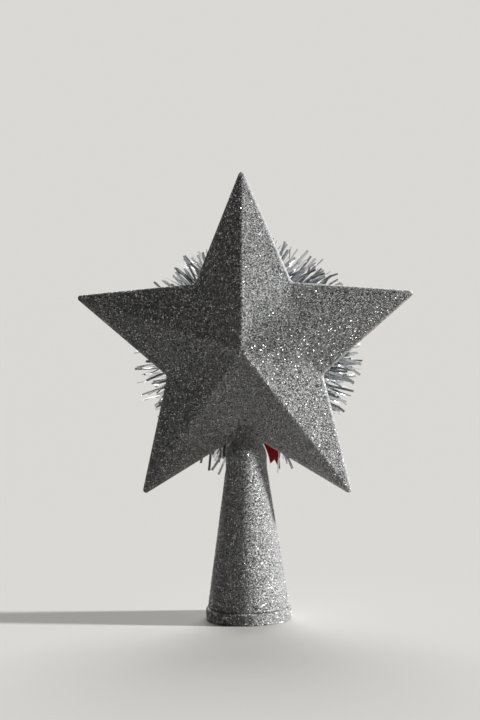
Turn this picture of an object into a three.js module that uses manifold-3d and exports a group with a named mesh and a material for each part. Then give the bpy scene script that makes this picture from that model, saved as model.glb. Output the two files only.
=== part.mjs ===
// Star tree topper with a doll's face, in millimetres, +Z up.
// The origin is on the axis of the tree socket, in the plane that its foot stands on.
// The star's plain side faces -Y. The doll's face, its wreath of tinsel and the bow are on the +Y side.

import * as THREE from 'three';
import { mergeVertices } from 'three/addons/utils/BufferGeometryUtils.js';
import Module from 'manifold-3d';

const wasm = await Module();
wasm.setup();

// Clearance between two pieces that fit in or lie against each other
const GAP = 0.3;

// Foot band and tree socket
const FOOT_RADIUS = 21;
const FOOT_HEIGHT = 5.7;
const FOOT_EDGE = 0.9;
const SPIGOT_RADIUS = 19;
const CONE_FOOT_RADIUS = 20;
const CONE_TOP_RADIUS = 10.9;
const CONE_LENGTH = 63;
const SHOULDER_LENGTH = 6;
const NECK_RADIUS = 10.1;
const NECK_LENGTH = 5;
const NOSE_HEIGHT = 10.4;
const NOSE_WALL = 2.4;
const SOCKET_WALL = 1.4;
const ROUND_SIDES = 36;

// Tongue on the socket's nose, held between the star's halves
const TONGUE_WIDTH = 10;
const TONGUE_THICKNESS = 2;
const TONGUE_LENGTH = 23;
const TONGUE_PEG_RISE = 16;

// Star, as sharp outline radii before the tips and notches are rounded
const ARMS = 5;
const STAR_TIP = 89.3;
const STAR_NOTCH = 40.5;
const STAR_DEPTH = 17;
const TIP_CURVE = 1.5;
const NOTCH_CURVE = 3;
const RIDGE_CURVE = 0.9;
const RIDGE_BLEND = 0.125;
const VALLEY_SPREAD = 40;
const EDGE_STRAIGHT = 0.8;
const EDGE_CURVE = 1.6;
const EDGE_STEPS = 3;
const TIP_STEPS = 3;
const NOTCH_STEPS = 4;
const SHELL_WALL = 1.2;
const NOTCH_TO_NOSE = 1.6;

// Locating pegs inside the star
const PEG_RADIUS = 1.5;
const PEG_SIDES = 12;
const PEG_REACH = 2.6;
const PEG_BOSS_WALL = 1.1;
const PEG_ARM_RADIUS = 50;
const BOSS_SINK = 0.5;

// Flat seat on the star's front half and the disc glued to it
const SEAT_Y = 8;
const DISC_THICKNESS = 1.5;
const DISC_MARGIN = 5;

// Wreath of tinsel: a wire core with film strands
const WREATH_RADIUS = 35;
const CORE_RADIUS = 1.4;
const SECTORS = 4;
const SECTOR_STEPS = 25;
const STRAND_WIDTH = 0.9;
const STRAND_THICKNESS = 0.6;
const STRAND_LENGTH = 20.5;
const STRAND_ROWS = [
  { share: 1, spread: 5, lean: 6.5 },
  { share: 0.83, spread: 7, lean: 8 },
  { share: 0.59, spread: 7, lean: 8 },
  { share: 0.37, spread: 5, lean: 4 },
];
const STRAND_LENGTH_VARIATION = 0.13;
const BOTTOM_STRAND_EXTRA = 4;
const BOW_STRAND_TILT = 2.6;
const STRAND_ROW_STEP = 45;
const TIE_WIRE_RADIUS = 0.4;
const TIE_STEPS = 14;

// Doll's face mask
const FACE_HALF_WIDTH = 18.5;
const FACE_HALF_HEIGHT = 23;
const FACE_DEPTH = 19;
const FACE_FLATNESS = 0.75;
const FACE_RISE = 0.5;
const JAW_TAPER = 0.2;
const FACE_SIDES = 28;
const FACE_RINGS = 11;
const MASK_RIM_WALL = 1.4;
const MASK_FRONT_WALL = 3.6;
const HOLLOW_SIDES = 20;
const HOLLOW_RINGS = 5;
const EYE_SPREAD = 7.6;
const EYE_RISE = -1.4;
const EYE_RADIUS = 4.3;
const EYE_SETBACK = 1.2;
const EYE_SIDES = 12;
const EYE_RINGS = 8;
const LID_THICKNESS = 0.6;
const EYE_OPENING_WIDTH = 7.4;
const EYE_OPENING_HEIGHT = 4.6;

// Hair in curls round the face
const CURL_RADIUS = 5.6;
const CURL_PITCH = 8.4;
const CURL_RING_OFFSET = 0.2;
const CURL_START = -48;
const CURL_LENGTHENING = 1.25;
const CURL_SIDES = 8;
const CURL_RINGS = 5;
const FRINGE_RADIUS = 4.8;
const FRINGE_PITCH = 6.3;
const FRINGE_HALF_WIDTH = 12.6;
const FRINGE_BELOW_CROWN = 6.2;
const FRINGE_DROP = 4;
const FRINGE_SINK = 1.8;

// Ribbon bow under the chin
const RIBBON_WIDTH = 7;
const RIBBON_THICKNESS = 0.8;
const RIBBON_GATHER = 0.6;
const BOW_OFFSET_X = -3;
const KNOT_HALF_WIDTH = 3.6;
const KNOT_HALF_DEPTH = 3.2;
const KNOT_HALF_HEIGHT = 4.2;
const KNOT_SIDES = 14;
const KNOT_RINGS = 8;
const LOOP_LENGTH = 15;
const LOOP_DEPTH = 6.4;
const LOOP_FORWARD = 1;
const LOOP_STEPS = 14;
const TAIL_LENGTH = 22;
const TAIL_SPREAD = 12;
const TAIL_FORWARD = 2.8;
const TAIL_CUT = 3.5;
const TAIL_TWIST_ANGLE = 40;
const TAIL_STEPS = 8;

const degrees = Math.PI / 180;

// Heights of the socket's features
const shoulderZ = FOOT_HEIGHT + GAP;
const coneTopZ = shoulderZ + CONE_LENGTH;
const neckStartZ = coneTopZ + SHOULDER_LENGTH;
const neckEndZ = neckStartZ + NECK_LENGTH;
const noseTopZ = neckEndZ + NOSE_HEIGHT;
const tongueTopZ = noseTopZ + TONGUE_LENGTH;
const tonguePegZ = noseTopZ + TONGUE_PEG_RISE;

// The star's edges all lie at one distance from its centre, so an inset outline is a scaled one
const halfStep = Math.PI / ARMS;
const tipHalfAngle = Math.atan2(
  STAR_NOTCH * Math.sin(halfStep),
  STAR_TIP - STAR_NOTCH * Math.cos(halfStep),
);
const edgeDistance = STAR_TIP * Math.sin(tipHalfAngle);
const notchHalfAngle = Math.asin(edgeDistance / STAR_NOTCH);
const notchReach = STAR_NOTCH + NOTCH_CURVE * (1 / Math.sin(notchHalfAngle) - 1);
const starZ = noseTopZ + NOTCH_TO_NOSE + notchReach;

// The facets touch the rounded edge and meet at the star's peak
const peakRise = STAR_DEPTH - EDGE_STRAIGHT;
const peakRun = edgeDistance - EDGE_CURVE;
const facetAngle = Math.atan2(peakRise, peakRun) - Math.asin(EDGE_CURVE / Math.hypot(peakRise, peakRun));
const facetStart = {
  inset: EDGE_CURVE * (1 - Math.sin(facetAngle)),
  height: EDGE_STRAIGHT + EDGE_CURVE * Math.cos(facetAngle),
};

// Planes and places on the decorated side
const facePlaneY = SEAT_Y + DISC_THICKNESS;
const coreY = facePlaneY + GAP + CORE_RADIUS;
const faceZ = starZ + FACE_RISE;
const hairReach = FACE_HALF_HEIGHT + CURL_RING_OFFSET + CURL_RADIUS + FACE_RISE;
const roomInsideWreath = WREATH_RADIUS - CORE_RADIUS - hairReach - GAP;
const knotY = coreY + CORE_RADIUS + GAP + KNOT_HALF_DEPTH;
const knotZ = starZ - WREATH_RADIUS + CORE_RADIUS;

// Closed surfaces and booleans

function turnedOutward(positions, index) {
  let volume = 0;
  const a = new THREE.Vector3();
  const b = new THREE.Vector3();
  const c = new THREE.Vector3();
  for (let i = 0; i < index.length; i += 3) {
    a.fromArray(positions, index[i] * 3);
    b.fromArray(positions, index[i + 1] * 3);
    c.fromArray(positions, index[i + 2] * 3);
    volume += a.dot(b.cross(c));
  }
  return volume < 0 ? index.toReversed() : index;
}

function solidOf(geometry) {
  const bare = geometry.clone();
  bare.deleteAttribute('normal');
  bare.deleteAttribute('uv');
  const merged = mergeVertices(bare);
  const positions = merged.attributes.position.array;
  const corners = [];
  for (let i = 0; i < merged.index.count; i += 3) {
    const [a, b, c] = merged.index.array.slice(i, i + 3);
    if (a !== b && b !== c && c !== a) corners.push(a, b, c);
  }
  const mesh = new wasm.Mesh({
    numProp: 3,
    vertProperties: new Float32Array(positions),
    triVerts: new Uint32Array(turnedOutward(positions, corners)),
  });
  return new wasm.Manifold(mesh);
}

function geometryOf(solid) {
  const mesh = solid.getMesh();
  const geometry = new THREE.BufferGeometry();
  geometry.setAttribute('position', new THREE.BufferAttribute(mesh.vertProperties, 3));
  geometry.setIndex(new THREE.BufferAttribute(mesh.triVerts, 1));
  const faceted = geometry.toNonIndexed();
  faceted.computeVertexNormals();
  return faceted;
}

function joined(solids) {
  return solids.reduce((whole, solid) => whole.add(solid));
}

// A surface through rings of points, where a ring of one point closes an end
function solidFromRings(rings) {
  const positions = [];
  const starts = [];
  for (const ring of rings) {
    starts.push(positions.length / 3);
    for (const point of ring) positions.push(point.x, point.y, point.z);
  }
  const index = [];
  for (let i = 0; i + 1 < rings.length; i += 1) {
    const here = rings[i].length;
    const next = rings[i + 1].length;
    const count = Math.max(here, next);
    for (let j = 0; j < count; j += 1) {
      const k = (j + 1) % count;
      const a = starts[i] + (j % here);
      const b = starts[i] + (k % here);
      const c = starts[i + 1] + (k % next);
      const d = starts[i + 1] + (j % next);
      if (here > 1) index.push(a, b, d);
      if (next > 1) index.push(b, c, d);
    }
  }
  const geometry = new THREE.BufferGeometry();
  geometry.setAttribute('position', new THREE.Float32BufferAttribute(positions, 3));
  geometry.setIndex(index);
  return solidOf(geometry);
}

function middleOf(ring) {
  const sum = ring.reduce((total, point) => total.add(point), new THREE.Vector3());
  return [sum.divideScalar(ring.length)];
}

function solidWithEnds(rings) {
  return solidFromRings([middleOf(rings[0]), ...rings, middleOf(rings.at(-1))]);
}

function lathed(profile) {
  const points = profile.map(([radius, height]) => new THREE.Vector2(radius, height));
  const geometry = new THREE.LatheGeometry(points, ROUND_SIDES);
  geometry.rotateX(Math.PI / 2);
  return solidOf(geometry);
}

function box(x0, x1, y0, y1, z0, z1) {
  const geometry = new THREE.BoxGeometry(x1 - x0, y1 - y0, z1 - z0);
  geometry.translate((x0 + x1) / 2, (y0 + y1) / 2, (z0 + z1) / 2);
  return solidOf(geometry);
}

// A round bar along Y
function bar(x, z, radius, y0, y1, sides) {
  const geometry = new THREE.CylinderGeometry(radius, radius, Math.abs(y1 - y0), sides);
  geometry.translate(x, (y0 + y1) / 2, z);
  return solidOf(geometry);
}

function ball(centre, radii, around, down) {
  const geometry = new THREE.SphereGeometry(1, around, down);
  geometry.scale(radii.x, radii.y, radii.z);
  geometry.translate(centre.x, centre.y, centre.z);
  return solidOf(geometry);
}

// Tree socket

function ellipseProfile(radius, base, height, steps) {
  const points = [];
  for (let i = 0; i <= steps; i += 1) {
    const turn = (i / steps) * (Math.PI / 2);
    points.push([i === steps ? 0 : radius * Math.cos(turn), base + height * Math.sin(turn)]);
  }
  return points;
}

function shoulderProfile(lowRadius, highRadius, steps) {
  const points = [];
  for (let i = 1; i < steps; i += 1) {
    const part = i / steps;
    const ease = part * part * (3 - 2 * part);
    points.push([lowRadius + (highRadius - lowRadius) * ease, coneTopZ + SHOULDER_LENGTH * part]);
  }
  return points;
}

function coneSocket() {
  const outside = lathed([
    [0, 0],
    [SPIGOT_RADIUS, 0],
    [SPIGOT_RADIUS, shoulderZ],
    [CONE_FOOT_RADIUS, shoulderZ],
    [CONE_TOP_RADIUS, coneTopZ],
    ...shoulderProfile(CONE_TOP_RADIUS, NECK_RADIUS, 3),
    [NECK_RADIUS, neckStartZ],
    ...ellipseProfile(NECK_RADIUS, neckEndZ, NOSE_HEIGHT, 6),
  ]);
  const hollow = lathed([
    [0, -1],
    [SPIGOT_RADIUS - SOCKET_WALL, -1],
    [SPIGOT_RADIUS - SOCKET_WALL, shoulderZ],
    [CONE_TOP_RADIUS - SOCKET_WALL, coneTopZ],
    [NECK_RADIUS - SOCKET_WALL, neckStartZ],
    ...ellipseProfile(NECK_RADIUS - SOCKET_WALL, neckEndZ, NOSE_HEIGHT - NOSE_WALL, 4),
  ]);
  const halfWidth = TONGUE_WIDTH / 2;
  const halfThickness = TONGUE_THICKNESS / 2;
  const tongue = box(-halfWidth, halfWidth, -halfThickness, halfThickness, neckEndZ, tongueTopZ);
  const pegHole = bar(0, tonguePegZ, PEG_RADIUS + GAP, -TONGUE_THICKNESS, TONGUE_THICKNESS, PEG_SIDES);
  return outside.add(tongue).subtract(hollow).subtract(pegHole);
}

function footBand() {
  const inner = SPIGOT_RADIUS + GAP;
  return lathed([
    [inner, 0],
    [FOOT_RADIUS - FOOT_EDGE / 3, 0],
    [FOOT_RADIUS, FOOT_EDGE / 2],
    [FOOT_RADIUS, FOOT_HEIGHT - FOOT_EDGE],
    [FOOT_RADIUS - FOOT_EDGE * 0.3, FOOT_HEIGHT - FOOT_EDGE * 0.3],
    [FOOT_RADIUS - FOOT_EDGE, FOOT_HEIGHT],
    [inner, FOOT_HEIGHT],
    [inner, 0],
  ]);
}

// Star

// A corner turned into an arc that takes less than half of either side
function roundedCorner(before, corner, after, radius, steps) {
  const back = before.clone().sub(corner);
  const ahead = after.clone().sub(corner);
  const reach = 0.48 * Math.min(back.length(), ahead.length());
  back.normalize();
  ahead.normalize();
  const half = Math.acos(back.dot(ahead)) / 2;
  const tangent = Math.min(radius / Math.tan(half), reach);
  const toCentre = back.clone().add(ahead).normalize();
  const centre = corner.clone().addScaledVector(toCentre, tangent / Math.cos(half));
  const start = corner.clone().addScaledVector(back, tangent).sub(centre);
  const turn = start.cross(corner.clone().addScaledVector(ahead, tangent).sub(centre)) > 0 ? 1 : -1;
  const sweep = turn * (Math.PI - 2 * half);
  const points = [];
  for (let i = 0; i <= steps; i += 1) {
    points.push(start.clone().rotateAround(new THREE.Vector2(), (sweep * i) / steps).add(centre));
  }
  return points;
}

// One outline of the star, drawn in by inset, at a height over the parting plane
function starRing(inset, height, ridgeCurve, valleyCurve, side) {
  const scale = 1 - inset / edgeDistance;
  const corners = [];
  for (let i = 0; i < 2 * ARMS; i += 1) {
    const turn = Math.PI / 2 + i * halfStep;
    const radius = scale * (i % 2 === 0 ? STAR_TIP : STAR_NOTCH);
    corners.push(new THREE.Vector2(radius * Math.cos(turn), radius * Math.sin(turn)));
  }
  const ring = [];
  for (let i = 0; i < corners.length; i += 1) {
    const before = corners.at(i - 1);
    const after = corners[(i + 1) % corners.length];
    const atTip = i % 2 === 0;
    const curve = atTip ? ridgeCurve : valleyCurve;
    const steps = atTip ? TIP_STEPS : NOTCH_STEPS;
    for (const point of roundedCorner(before, corners[i], after, curve, steps)) {
      ring.push(new THREE.Vector3(point.x, side * height, starZ + point.y));
    }
  }
  return ring;
}

function facetRing(part, drop, side) {
  const inset = facetStart.inset + part * (edgeDistance - facetStart.inset);
  const height = facetStart.height + (inset - facetStart.inset) * Math.tan(facetAngle) - drop;
  const ridge = TIP_CURVE + (RIDGE_CURVE - TIP_CURVE) * Math.min(1, part / RIDGE_BLEND);
  return starRing(inset, height, ridge, NOTCH_CURVE + part * VALLEY_SPREAD, side);
}

function starPeak(part, drop, side) {
  const height = facetStart.height + part * (STAR_DEPTH - facetStart.height) - drop;
  return [new THREE.Vector3(0, side * height, starZ)];
}

function starOutside(side, sink) {
  const rings = [[new THREE.Vector3(0, -side * sink, starZ)]];
  rings.push(starRing(0, -sink, TIP_CURVE, NOTCH_CURVE, side));
  for (let i = 0; i < EDGE_STEPS; i += 1) {
    const turn = (i / EDGE_STEPS) * (Math.PI / 2 - facetAngle);
    const inset = EDGE_CURVE * (1 - Math.cos(turn));
    const height = EDGE_STRAIGHT + EDGE_CURVE * Math.sin(turn) - sink;
    rings.push(starRing(inset, height, TIP_CURVE, NOTCH_CURVE, side));
  }
  for (const part of [0, 0.07, 0.2, 0.4, 0.64, 0.86, 0.96]) rings.push(facetRing(part, sink, side));
  rings.push(starPeak(0.98, sink, side));
  return solidFromRings(rings);
}

function starHollow(side) {
  const drop = SHELL_WALL / Math.cos(facetAngle);
  const wallPart = (SHELL_WALL - facetStart.inset) / (edgeDistance - facetStart.inset);
  const rings = [[new THREE.Vector3(0, -side, starZ)]];
  rings.push(starRing(SHELL_WALL, -1, TIP_CURVE, NOTCH_CURVE, side));
  for (const part of [wallPart, 0.2, 0.48, 0.78, 0.96]) rings.push(facetRing(part, drop, side));
  rings.push(starPeak(0.98, drop, side));
  return solidFromRings(rings);
}

// Places of the pegs, with how far their bosses keep from the parting plane
function pegPlaces() {
  const places = [{ x: 0, z: tonguePegZ, lift: TONGUE_THICKNESS / 2 + GAP }];
  for (let i = 0; i < ARMS; i += 1) {
    const turn = Math.PI / 2 + 2 * i * halfStep;
    const x = PEG_ARM_RADIUS * Math.cos(turn);
    places.push({ x, z: starZ + PEG_ARM_RADIUS * Math.sin(turn), lift: 0 });
  }
  return places;
}

function tongueSlot(side) {
  const half = TONGUE_WIDTH / 2 + GAP;
  const depth = TONGUE_THICKNESS / 2 + GAP;
  const notchZ = starZ - notchReach;
  const low = Math.min(-side, side * depth);
  const high = Math.max(-side, side * depth);
  return box(-half, half, low, high, notchZ - 5, notchZ + 5);
}

function rearStarShell() {
  const side = -1;
  const bosses = pegPlaces().map(({ x, z, lift }) => {
    const root = side * STAR_DEPTH;
    const boss = bar(x, z, PEG_RADIUS + GAP + PEG_BOSS_WALL, side * (lift + GAP), root, PEG_SIDES);
    return boss.add(bar(x, z, PEG_RADIUS, side * (lift + 2 * GAP), root, PEG_SIDES));
  });
  const pegs = pegPlaces().map(({ x, z, lift }) => {
    return bar(x, z, PEG_RADIUS, lift + PEG_REACH, side * (lift + 2 * GAP), PEG_SIDES);
  });
  const rooted = joined(bosses).intersect(starOutside(side, BOSS_SINK));
  const wall = starOutside(side, 0).subtract(starHollow(side)).subtract(tongueSlot(side));
  return wall.add(rooted).add(joined(pegs));
}

function frontStarShell() {
  const side = 1;
  const span = 2 * STAR_TIP;
  const aboveSeat = box(-span, span, SEAT_Y, span, -span, starZ + span);
  const aboveRoof = box(-span, span, SEAT_Y - SHELL_WALL, span, -span, starZ + span);
  const aboveRoots = box(-span, span, SEAT_Y - BOSS_SINK, span, -span, starZ + span);
  const hollow = starHollow(side).subtract(aboveRoof);
  const bosses = pegPlaces().map(({ x, z, lift }) => {
    return bar(x, z, PEG_RADIUS + GAP + PEG_BOSS_WALL, lift, STAR_DEPTH, PEG_SIDES);
  });
  const bores = pegPlaces().map(({ x, z, lift }) => {
    return bar(x, z, PEG_RADIUS + GAP, -1, lift + PEG_REACH + GAP, PEG_SIDES);
  });
  const rooted = joined(bosses).intersect(starOutside(side, BOSS_SINK)).subtract(aboveRoots);
  const wall = starOutside(side, 0).subtract(aboveSeat).subtract(hollow).subtract(tongueSlot(side));
  return wall.add(rooted).subtract(joined(bores));
}

// Disc and wreath

// A point at a distance from the core's centre line, at a turn round the wreath and round the core
function corePoint(turn, around, distance) {
  const reach = WREATH_RADIUS + distance * Math.cos(around);
  return new THREE.Vector3(
    reach * Math.cos(turn),
    coreY + distance * Math.sin(around),
    starZ + reach * Math.sin(turn),
  );
}

// The wire ties are staples over the core, with their legs glued into the disc
const tieTurns = [1, 3, 7, 9].map((step) => Math.PI / 2 + step * halfStep);
const tieArch = CORE_RADIUS + GAP + TIE_WIRE_RADIUS;

function backingDisc() {
  let disc = bar(0, starZ, WREATH_RADIUS + DISC_MARGIN, SEAT_Y, facePlaneY, ROUND_SIDES);
  for (const turn of tieTurns) {
    for (const around of [0, Math.PI]) {
      const place = corePoint(turn, around, tieArch);
      disc = disc.subtract(bar(place.x, place.z, TIE_WIRE_RADIUS + GAP, 0, coreY, 8));
    }
  }
  return disc;
}

function tieWire(turn) {
  const legEnd = (offset) => {
    const reach = WREATH_RADIUS + offset;
    return new THREE.Vector3(reach * Math.cos(turn), SEAT_Y + GAP, starZ + reach * Math.sin(turn));
  };
  const points = [legEnd(-tieArch)];
  for (let i = 0; i <= 6; i += 1) points.push(corePoint(turn, Math.PI * (1 - i / 6), tieArch));
  points.push(legEnd(tieArch));
  const section = new THREE.Shape();
  for (let i = 0; i < 6; i += 1) {
    const angle = (i / 6) * 2 * Math.PI;
    const corner = [TIE_WIRE_RADIUS * Math.cos(angle), TIE_WIRE_RADIUS * Math.sin(angle)];
    if (i === 0) section.moveTo(...corner);
    else section.lineTo(...corner);
  }
  section.closePath();
  const path = new THREE.CatmullRomCurve3(points, false, 'centripetal');
  return solidOf(new THREE.ExtrudeGeometry(section, { steps: TIE_STEPS, extrudePath: path }));
}

// A repeatable number from 0 to 1 for each whole number
function scatter(number) {
  const wave = Math.sin(number * 12.9898) * 43758.5453;
  return wave - Math.floor(wave);
}

function turnApart(a, b) {
  return Math.abs(Math.atan2(Math.sin(a - b), Math.cos(a - b)));
}

// The strand that grows from one cell of the core, or nothing where a tie or the bow lies
function strandAt(sector, step, row) {
  const turn = ((sector + (step + 0.5) / SECTOR_STEPS) * 2 * Math.PI) / SECTORS;
  const cellSpan = (2 * Math.PI) / (SECTORS * SECTOR_STEPS);
  const tieRoom = cellSpan / 2 + (TIE_WIRE_RADIUS + GAP + STRAND_WIDTH / 2) / WREATH_RADIUS;
  if (tieTurns.some((tie) => turnApart(tie, turn) < tieRoom)) return null;
  const bowTurn = Math.atan2(-WREATH_RADIUS, BOW_OFFSET_X);
  const bowReach = KNOT_HALF_WIDTH + LOOP_LENGTH + 4 * GAP;
  const nearBow = turnApart(bowTurn, turn) < bowReach / WREATH_RADIUS;
  if (nearBow && row > 0) return null;
  const { share, spread, lean } = STRAND_ROWS[row];
  const wreathStep = sector * SECTOR_STEPS + step;
  const seed = wreathStep * STRAND_ROWS.length + row;
  const swing = (wreathStep % 2 === 0 ? 1 : -1) * spread * (0.6 + 0.4 * scatter(seed));
  const around = (row * STRAND_ROW_STEP + swing + (nearBow ? BOW_STRAND_TILT : 0)) * degrees;
  const sideLean = lean * (2 * scatter(seed + 0.5) - 1) * degrees;
  const towardsBottom = Math.max(0, -Math.sin(turn)) ** 4;
  const free = STRAND_LENGTH * share * (1 + STRAND_LENGTH_VARIATION * (2 * scatter(seed + 0.25) - 1))
    + (row === 0 ? BOTTOM_STRAND_EXTRA * towardsBottom : 0);
  const inward = Math.max(-Math.cos(around), 0.1);
  const reach = Math.min(free, roomInsideWreath / inward);
  const direction = corePoint(turn, around, 1).sub(corePoint(turn, around, 0)).normalize();
  const along = new THREE.Vector3(-Math.sin(turn), 0, Math.cos(turn));
  return direction.addScaledVector(along, Math.tan(sideLean)).normalize().multiplyScalar(reach);
}

function tinselSector(sector) {
  const coreTurns = [-22.5, 22.5, 67.5, 112.5, 157.5, 225, 270];
  const span = (2 * Math.PI) / SECTORS;
  const endGap = GAP / WREATH_RADIUS / 2;
  const positions = [];
  const index = [];
  const addPoint = (point) => positions.push(point.x, point.y, point.z) / 3 - 1;
  const sections = [];
  for (let step = 0; step <= SECTOR_STEPS; step += 1) {
    const turn = sector * span + endGap + ((span - 2 * endGap) * step) / SECTOR_STEPS;
    sections.push(coreTurns.map((around) => corePoint(turn, around * degrees, CORE_RADIUS)));
  }
  const numbers = sections.map((section) => section.map(addPoint));
  for (let step = 0; step < SECTOR_STEPS; step += 1) {
    for (let side = 0; side < coreTurns.length; side += 1) {
      const next = (side + 1) % coreTurns.length;
      const here = numbers[step];
      const ahead = numbers[step + 1];
      const cell = [here[side], ahead[side], ahead[next], here[next]];
      const strand = side < STRAND_ROWS.length ? strandAt(sector, step, side) : null;
      if (!strand) {
        index.push(cell[0], cell[1], cell[2], cell[0], cell[2], cell[3]);
        continue;
      }
      const low = sections[step][side].clone().lerp(sections[step + 1][side], 0.5);
      const high = sections[step][next].clone().lerp(sections[step + 1][next], 0.5);
      const middle = low.clone().lerp(high, 0.5);
      const along = sections[step + 1][side].clone().sub(sections[step][side]).setLength(STRAND_WIDTH / 2);
      const across = high.clone().sub(low).setLength(STRAND_THICKNESS / 2);
      const root = [
        middle.clone().sub(along).sub(across),
        middle.clone().add(along).sub(across),
        middle.clone().add(across),
      ];
      const [a, b, c] = root.map(addPoint);
      const [d, e, f] = root.map((point) => addPoint(point.clone().add(strand)));
      index.push(cell[0], cell[1], b, cell[0], b, a, cell[1], cell[2], c, cell[1], c, b);
      index.push(cell[2], cell[3], c, cell[3], cell[0], a, cell[3], a, c);
      index.push(a, b, e, a, e, d, b, c, f, b, f, e, c, a, d, c, d, f, d, e, f);
    }
  }
  for (const [end, flip] of [[0, false], [SECTOR_STEPS, true]]) {
    const centre = addPoint(middleOf(sections[end])[0]);
    for (let side = 0; side < coreTurns.length; side += 1) {
      const next = (side + 1) % coreTurns.length;
      const edge = flip ? [numbers[end][next], numbers[end][side]] : [numbers[end][side], numbers[end][next]];
      index.push(centre, ...edge);
    }
  }
  const geometry = new THREE.BufferGeometry();
  geometry.setAttribute('position', new THREE.Float32BufferAttribute(positions, 3));
  geometry.setIndex(index);
  return solidOf(geometry);
}

// Doll's face: a half egg, flattened in front, with soft rises and hollows

const faceForms = [
  { x: 0, z: -6.6, rise: 2.6, wide: 2.6, tall: 2.4 },
  { x: 0, z: -2.6, rise: 1.2, wide: 2, tall: 4 },
  { x: 9.8, z: -8.4, rise: 1.5, wide: 5, tall: 4.6 },
  { x: EYE_SPREAD, z: EYE_RISE + 0.8, rise: -1.3, wide: 4.8, tall: 3.4 },
  { x: 0, z: -12.2, rise: 1.3, wide: 4, tall: 1.7 },
  { x: 0, z: -15.2, rise: -0.7, wide: 4.2, tall: 1.1 },
  { x: 0, z: -18.4, rise: 1.5, wide: 4.2, tall: 2.7 },
  { x: 0, z: 10.5, rise: 0.9, wide: 11, tall: 7 },
];

function formAt(x, z) {
  let rise = 0;
  for (const form of faceForms) {
    const down = ((z - form.z) / form.tall) ** 2;
    rise += form.rise * Math.exp(-(((Math.abs(x) - form.x) / form.wide) ** 2) - down);
  }
  return rise;
}

// How far forward the bare egg stands, as a share of its depth
function eggAt(cosine) {
  return cosine ** FACE_FLATNESS;
}

function headDepthAt(x, z) {
  const cosine = Math.sqrt(1 - (x / FACE_HALF_WIDTH) ** 2 - (z / FACE_HALF_HEIGHT) ** 2);
  return FACE_DEPTH * eggAt(cosine);
}

function faceSolid(grow, depth, withForms, around, down) {
  const rings = [[new THREE.Vector3(0, facePlaneY, faceZ)]];
  for (let i = down; i >= 0; i -= 1) {
    const tilt = (i / down) * (Math.PI / 2);
    const ring = [];
    for (let j = 0; j < (i === 0 ? 1 : around); j += 1) {
      const turn = (j / around) * 2 * Math.PI;
      const part = Math.sin(tilt) * Math.sin(turn);
      const jaw = 1 - JAW_TAPER * Math.max(0, -part) ** 1.5;
      const x = (FACE_HALF_WIDTH + grow) * Math.sin(tilt) * Math.cos(turn) * jaw;
      const z = (FACE_HALF_HEIGHT + grow) * part;
      const cosine = i === down ? 0 : Math.cos(tilt);
      const rise = withForms ? formAt(x, z) * Math.sqrt(cosine) : 0;
      ring.push(new THREE.Vector3(x, facePlaneY + depth * eggAt(cosine) + rise, faceZ + z));
    }
    rings.push(ring);
  }
  return solidFromRings(rings);
}

const eyeFrontY = facePlaneY + headDepthAt(EYE_SPREAD, EYE_RISE) - EYE_SETBACK;
const eyeCentre = (side) => new THREE.Vector3(side * EYE_SPREAD, eyeFrontY - EYE_RADIUS, faceZ + EYE_RISE);

function eyeBall(side, radius) {
  return ball(eyeCentre(side), new THREE.Vector3(radius, radius, radius), EYE_SIDES, EYE_RINGS);
}

function eyeOpening(side) {
  const half = EYE_OPENING_WIDTH / 2;
  const lids = new THREE.Shape();
  lids.moveTo(-half, 0);
  lids.quadraticCurveTo(0, EYE_OPENING_HEIGHT, half, 0);
  lids.quadraticCurveTo(0, -EYE_OPENING_HEIGHT, -half, 0);
  const depth = EYE_RADIUS + 4;
  const geometry = new THREE.ExtrudeGeometry(lids, { depth, bevelEnabled: false, curveSegments: 5 });
  geometry.rotateX(Math.PI / 2);
  const centre = eyeCentre(side);
  geometry.translate(centre.x, centre.y + depth, centre.z);
  return solidOf(geometry);
}

function faceMask() {
  const depth = FACE_DEPTH - MASK_FRONT_WALL;
  const hollow = faceSolid(-MASK_RIM_WALL, depth, false, HOLLOW_SIDES, HOLLOW_RINGS);
  const behindRim = hollow.translate([0, -1, 0]);
  let mask = faceSolid(0, FACE_DEPTH, true, FACE_SIDES, FACE_RINGS);
  for (const side of [-1, 1]) mask = mask.add(eyeBall(side, EYE_RADIUS + GAP + LID_THICKNESS));
  mask = mask.subtract(hollow).subtract(behindRim);
  for (const side of [-1, 1]) {
    mask = mask.subtract(eyeBall(side, EYE_RADIUS + GAP)).subtract(eyeOpening(side));
  }
  return mask;
}

// Hair: a row of curls round the face and a fringe over the forehead, cut to fit the mask

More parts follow.
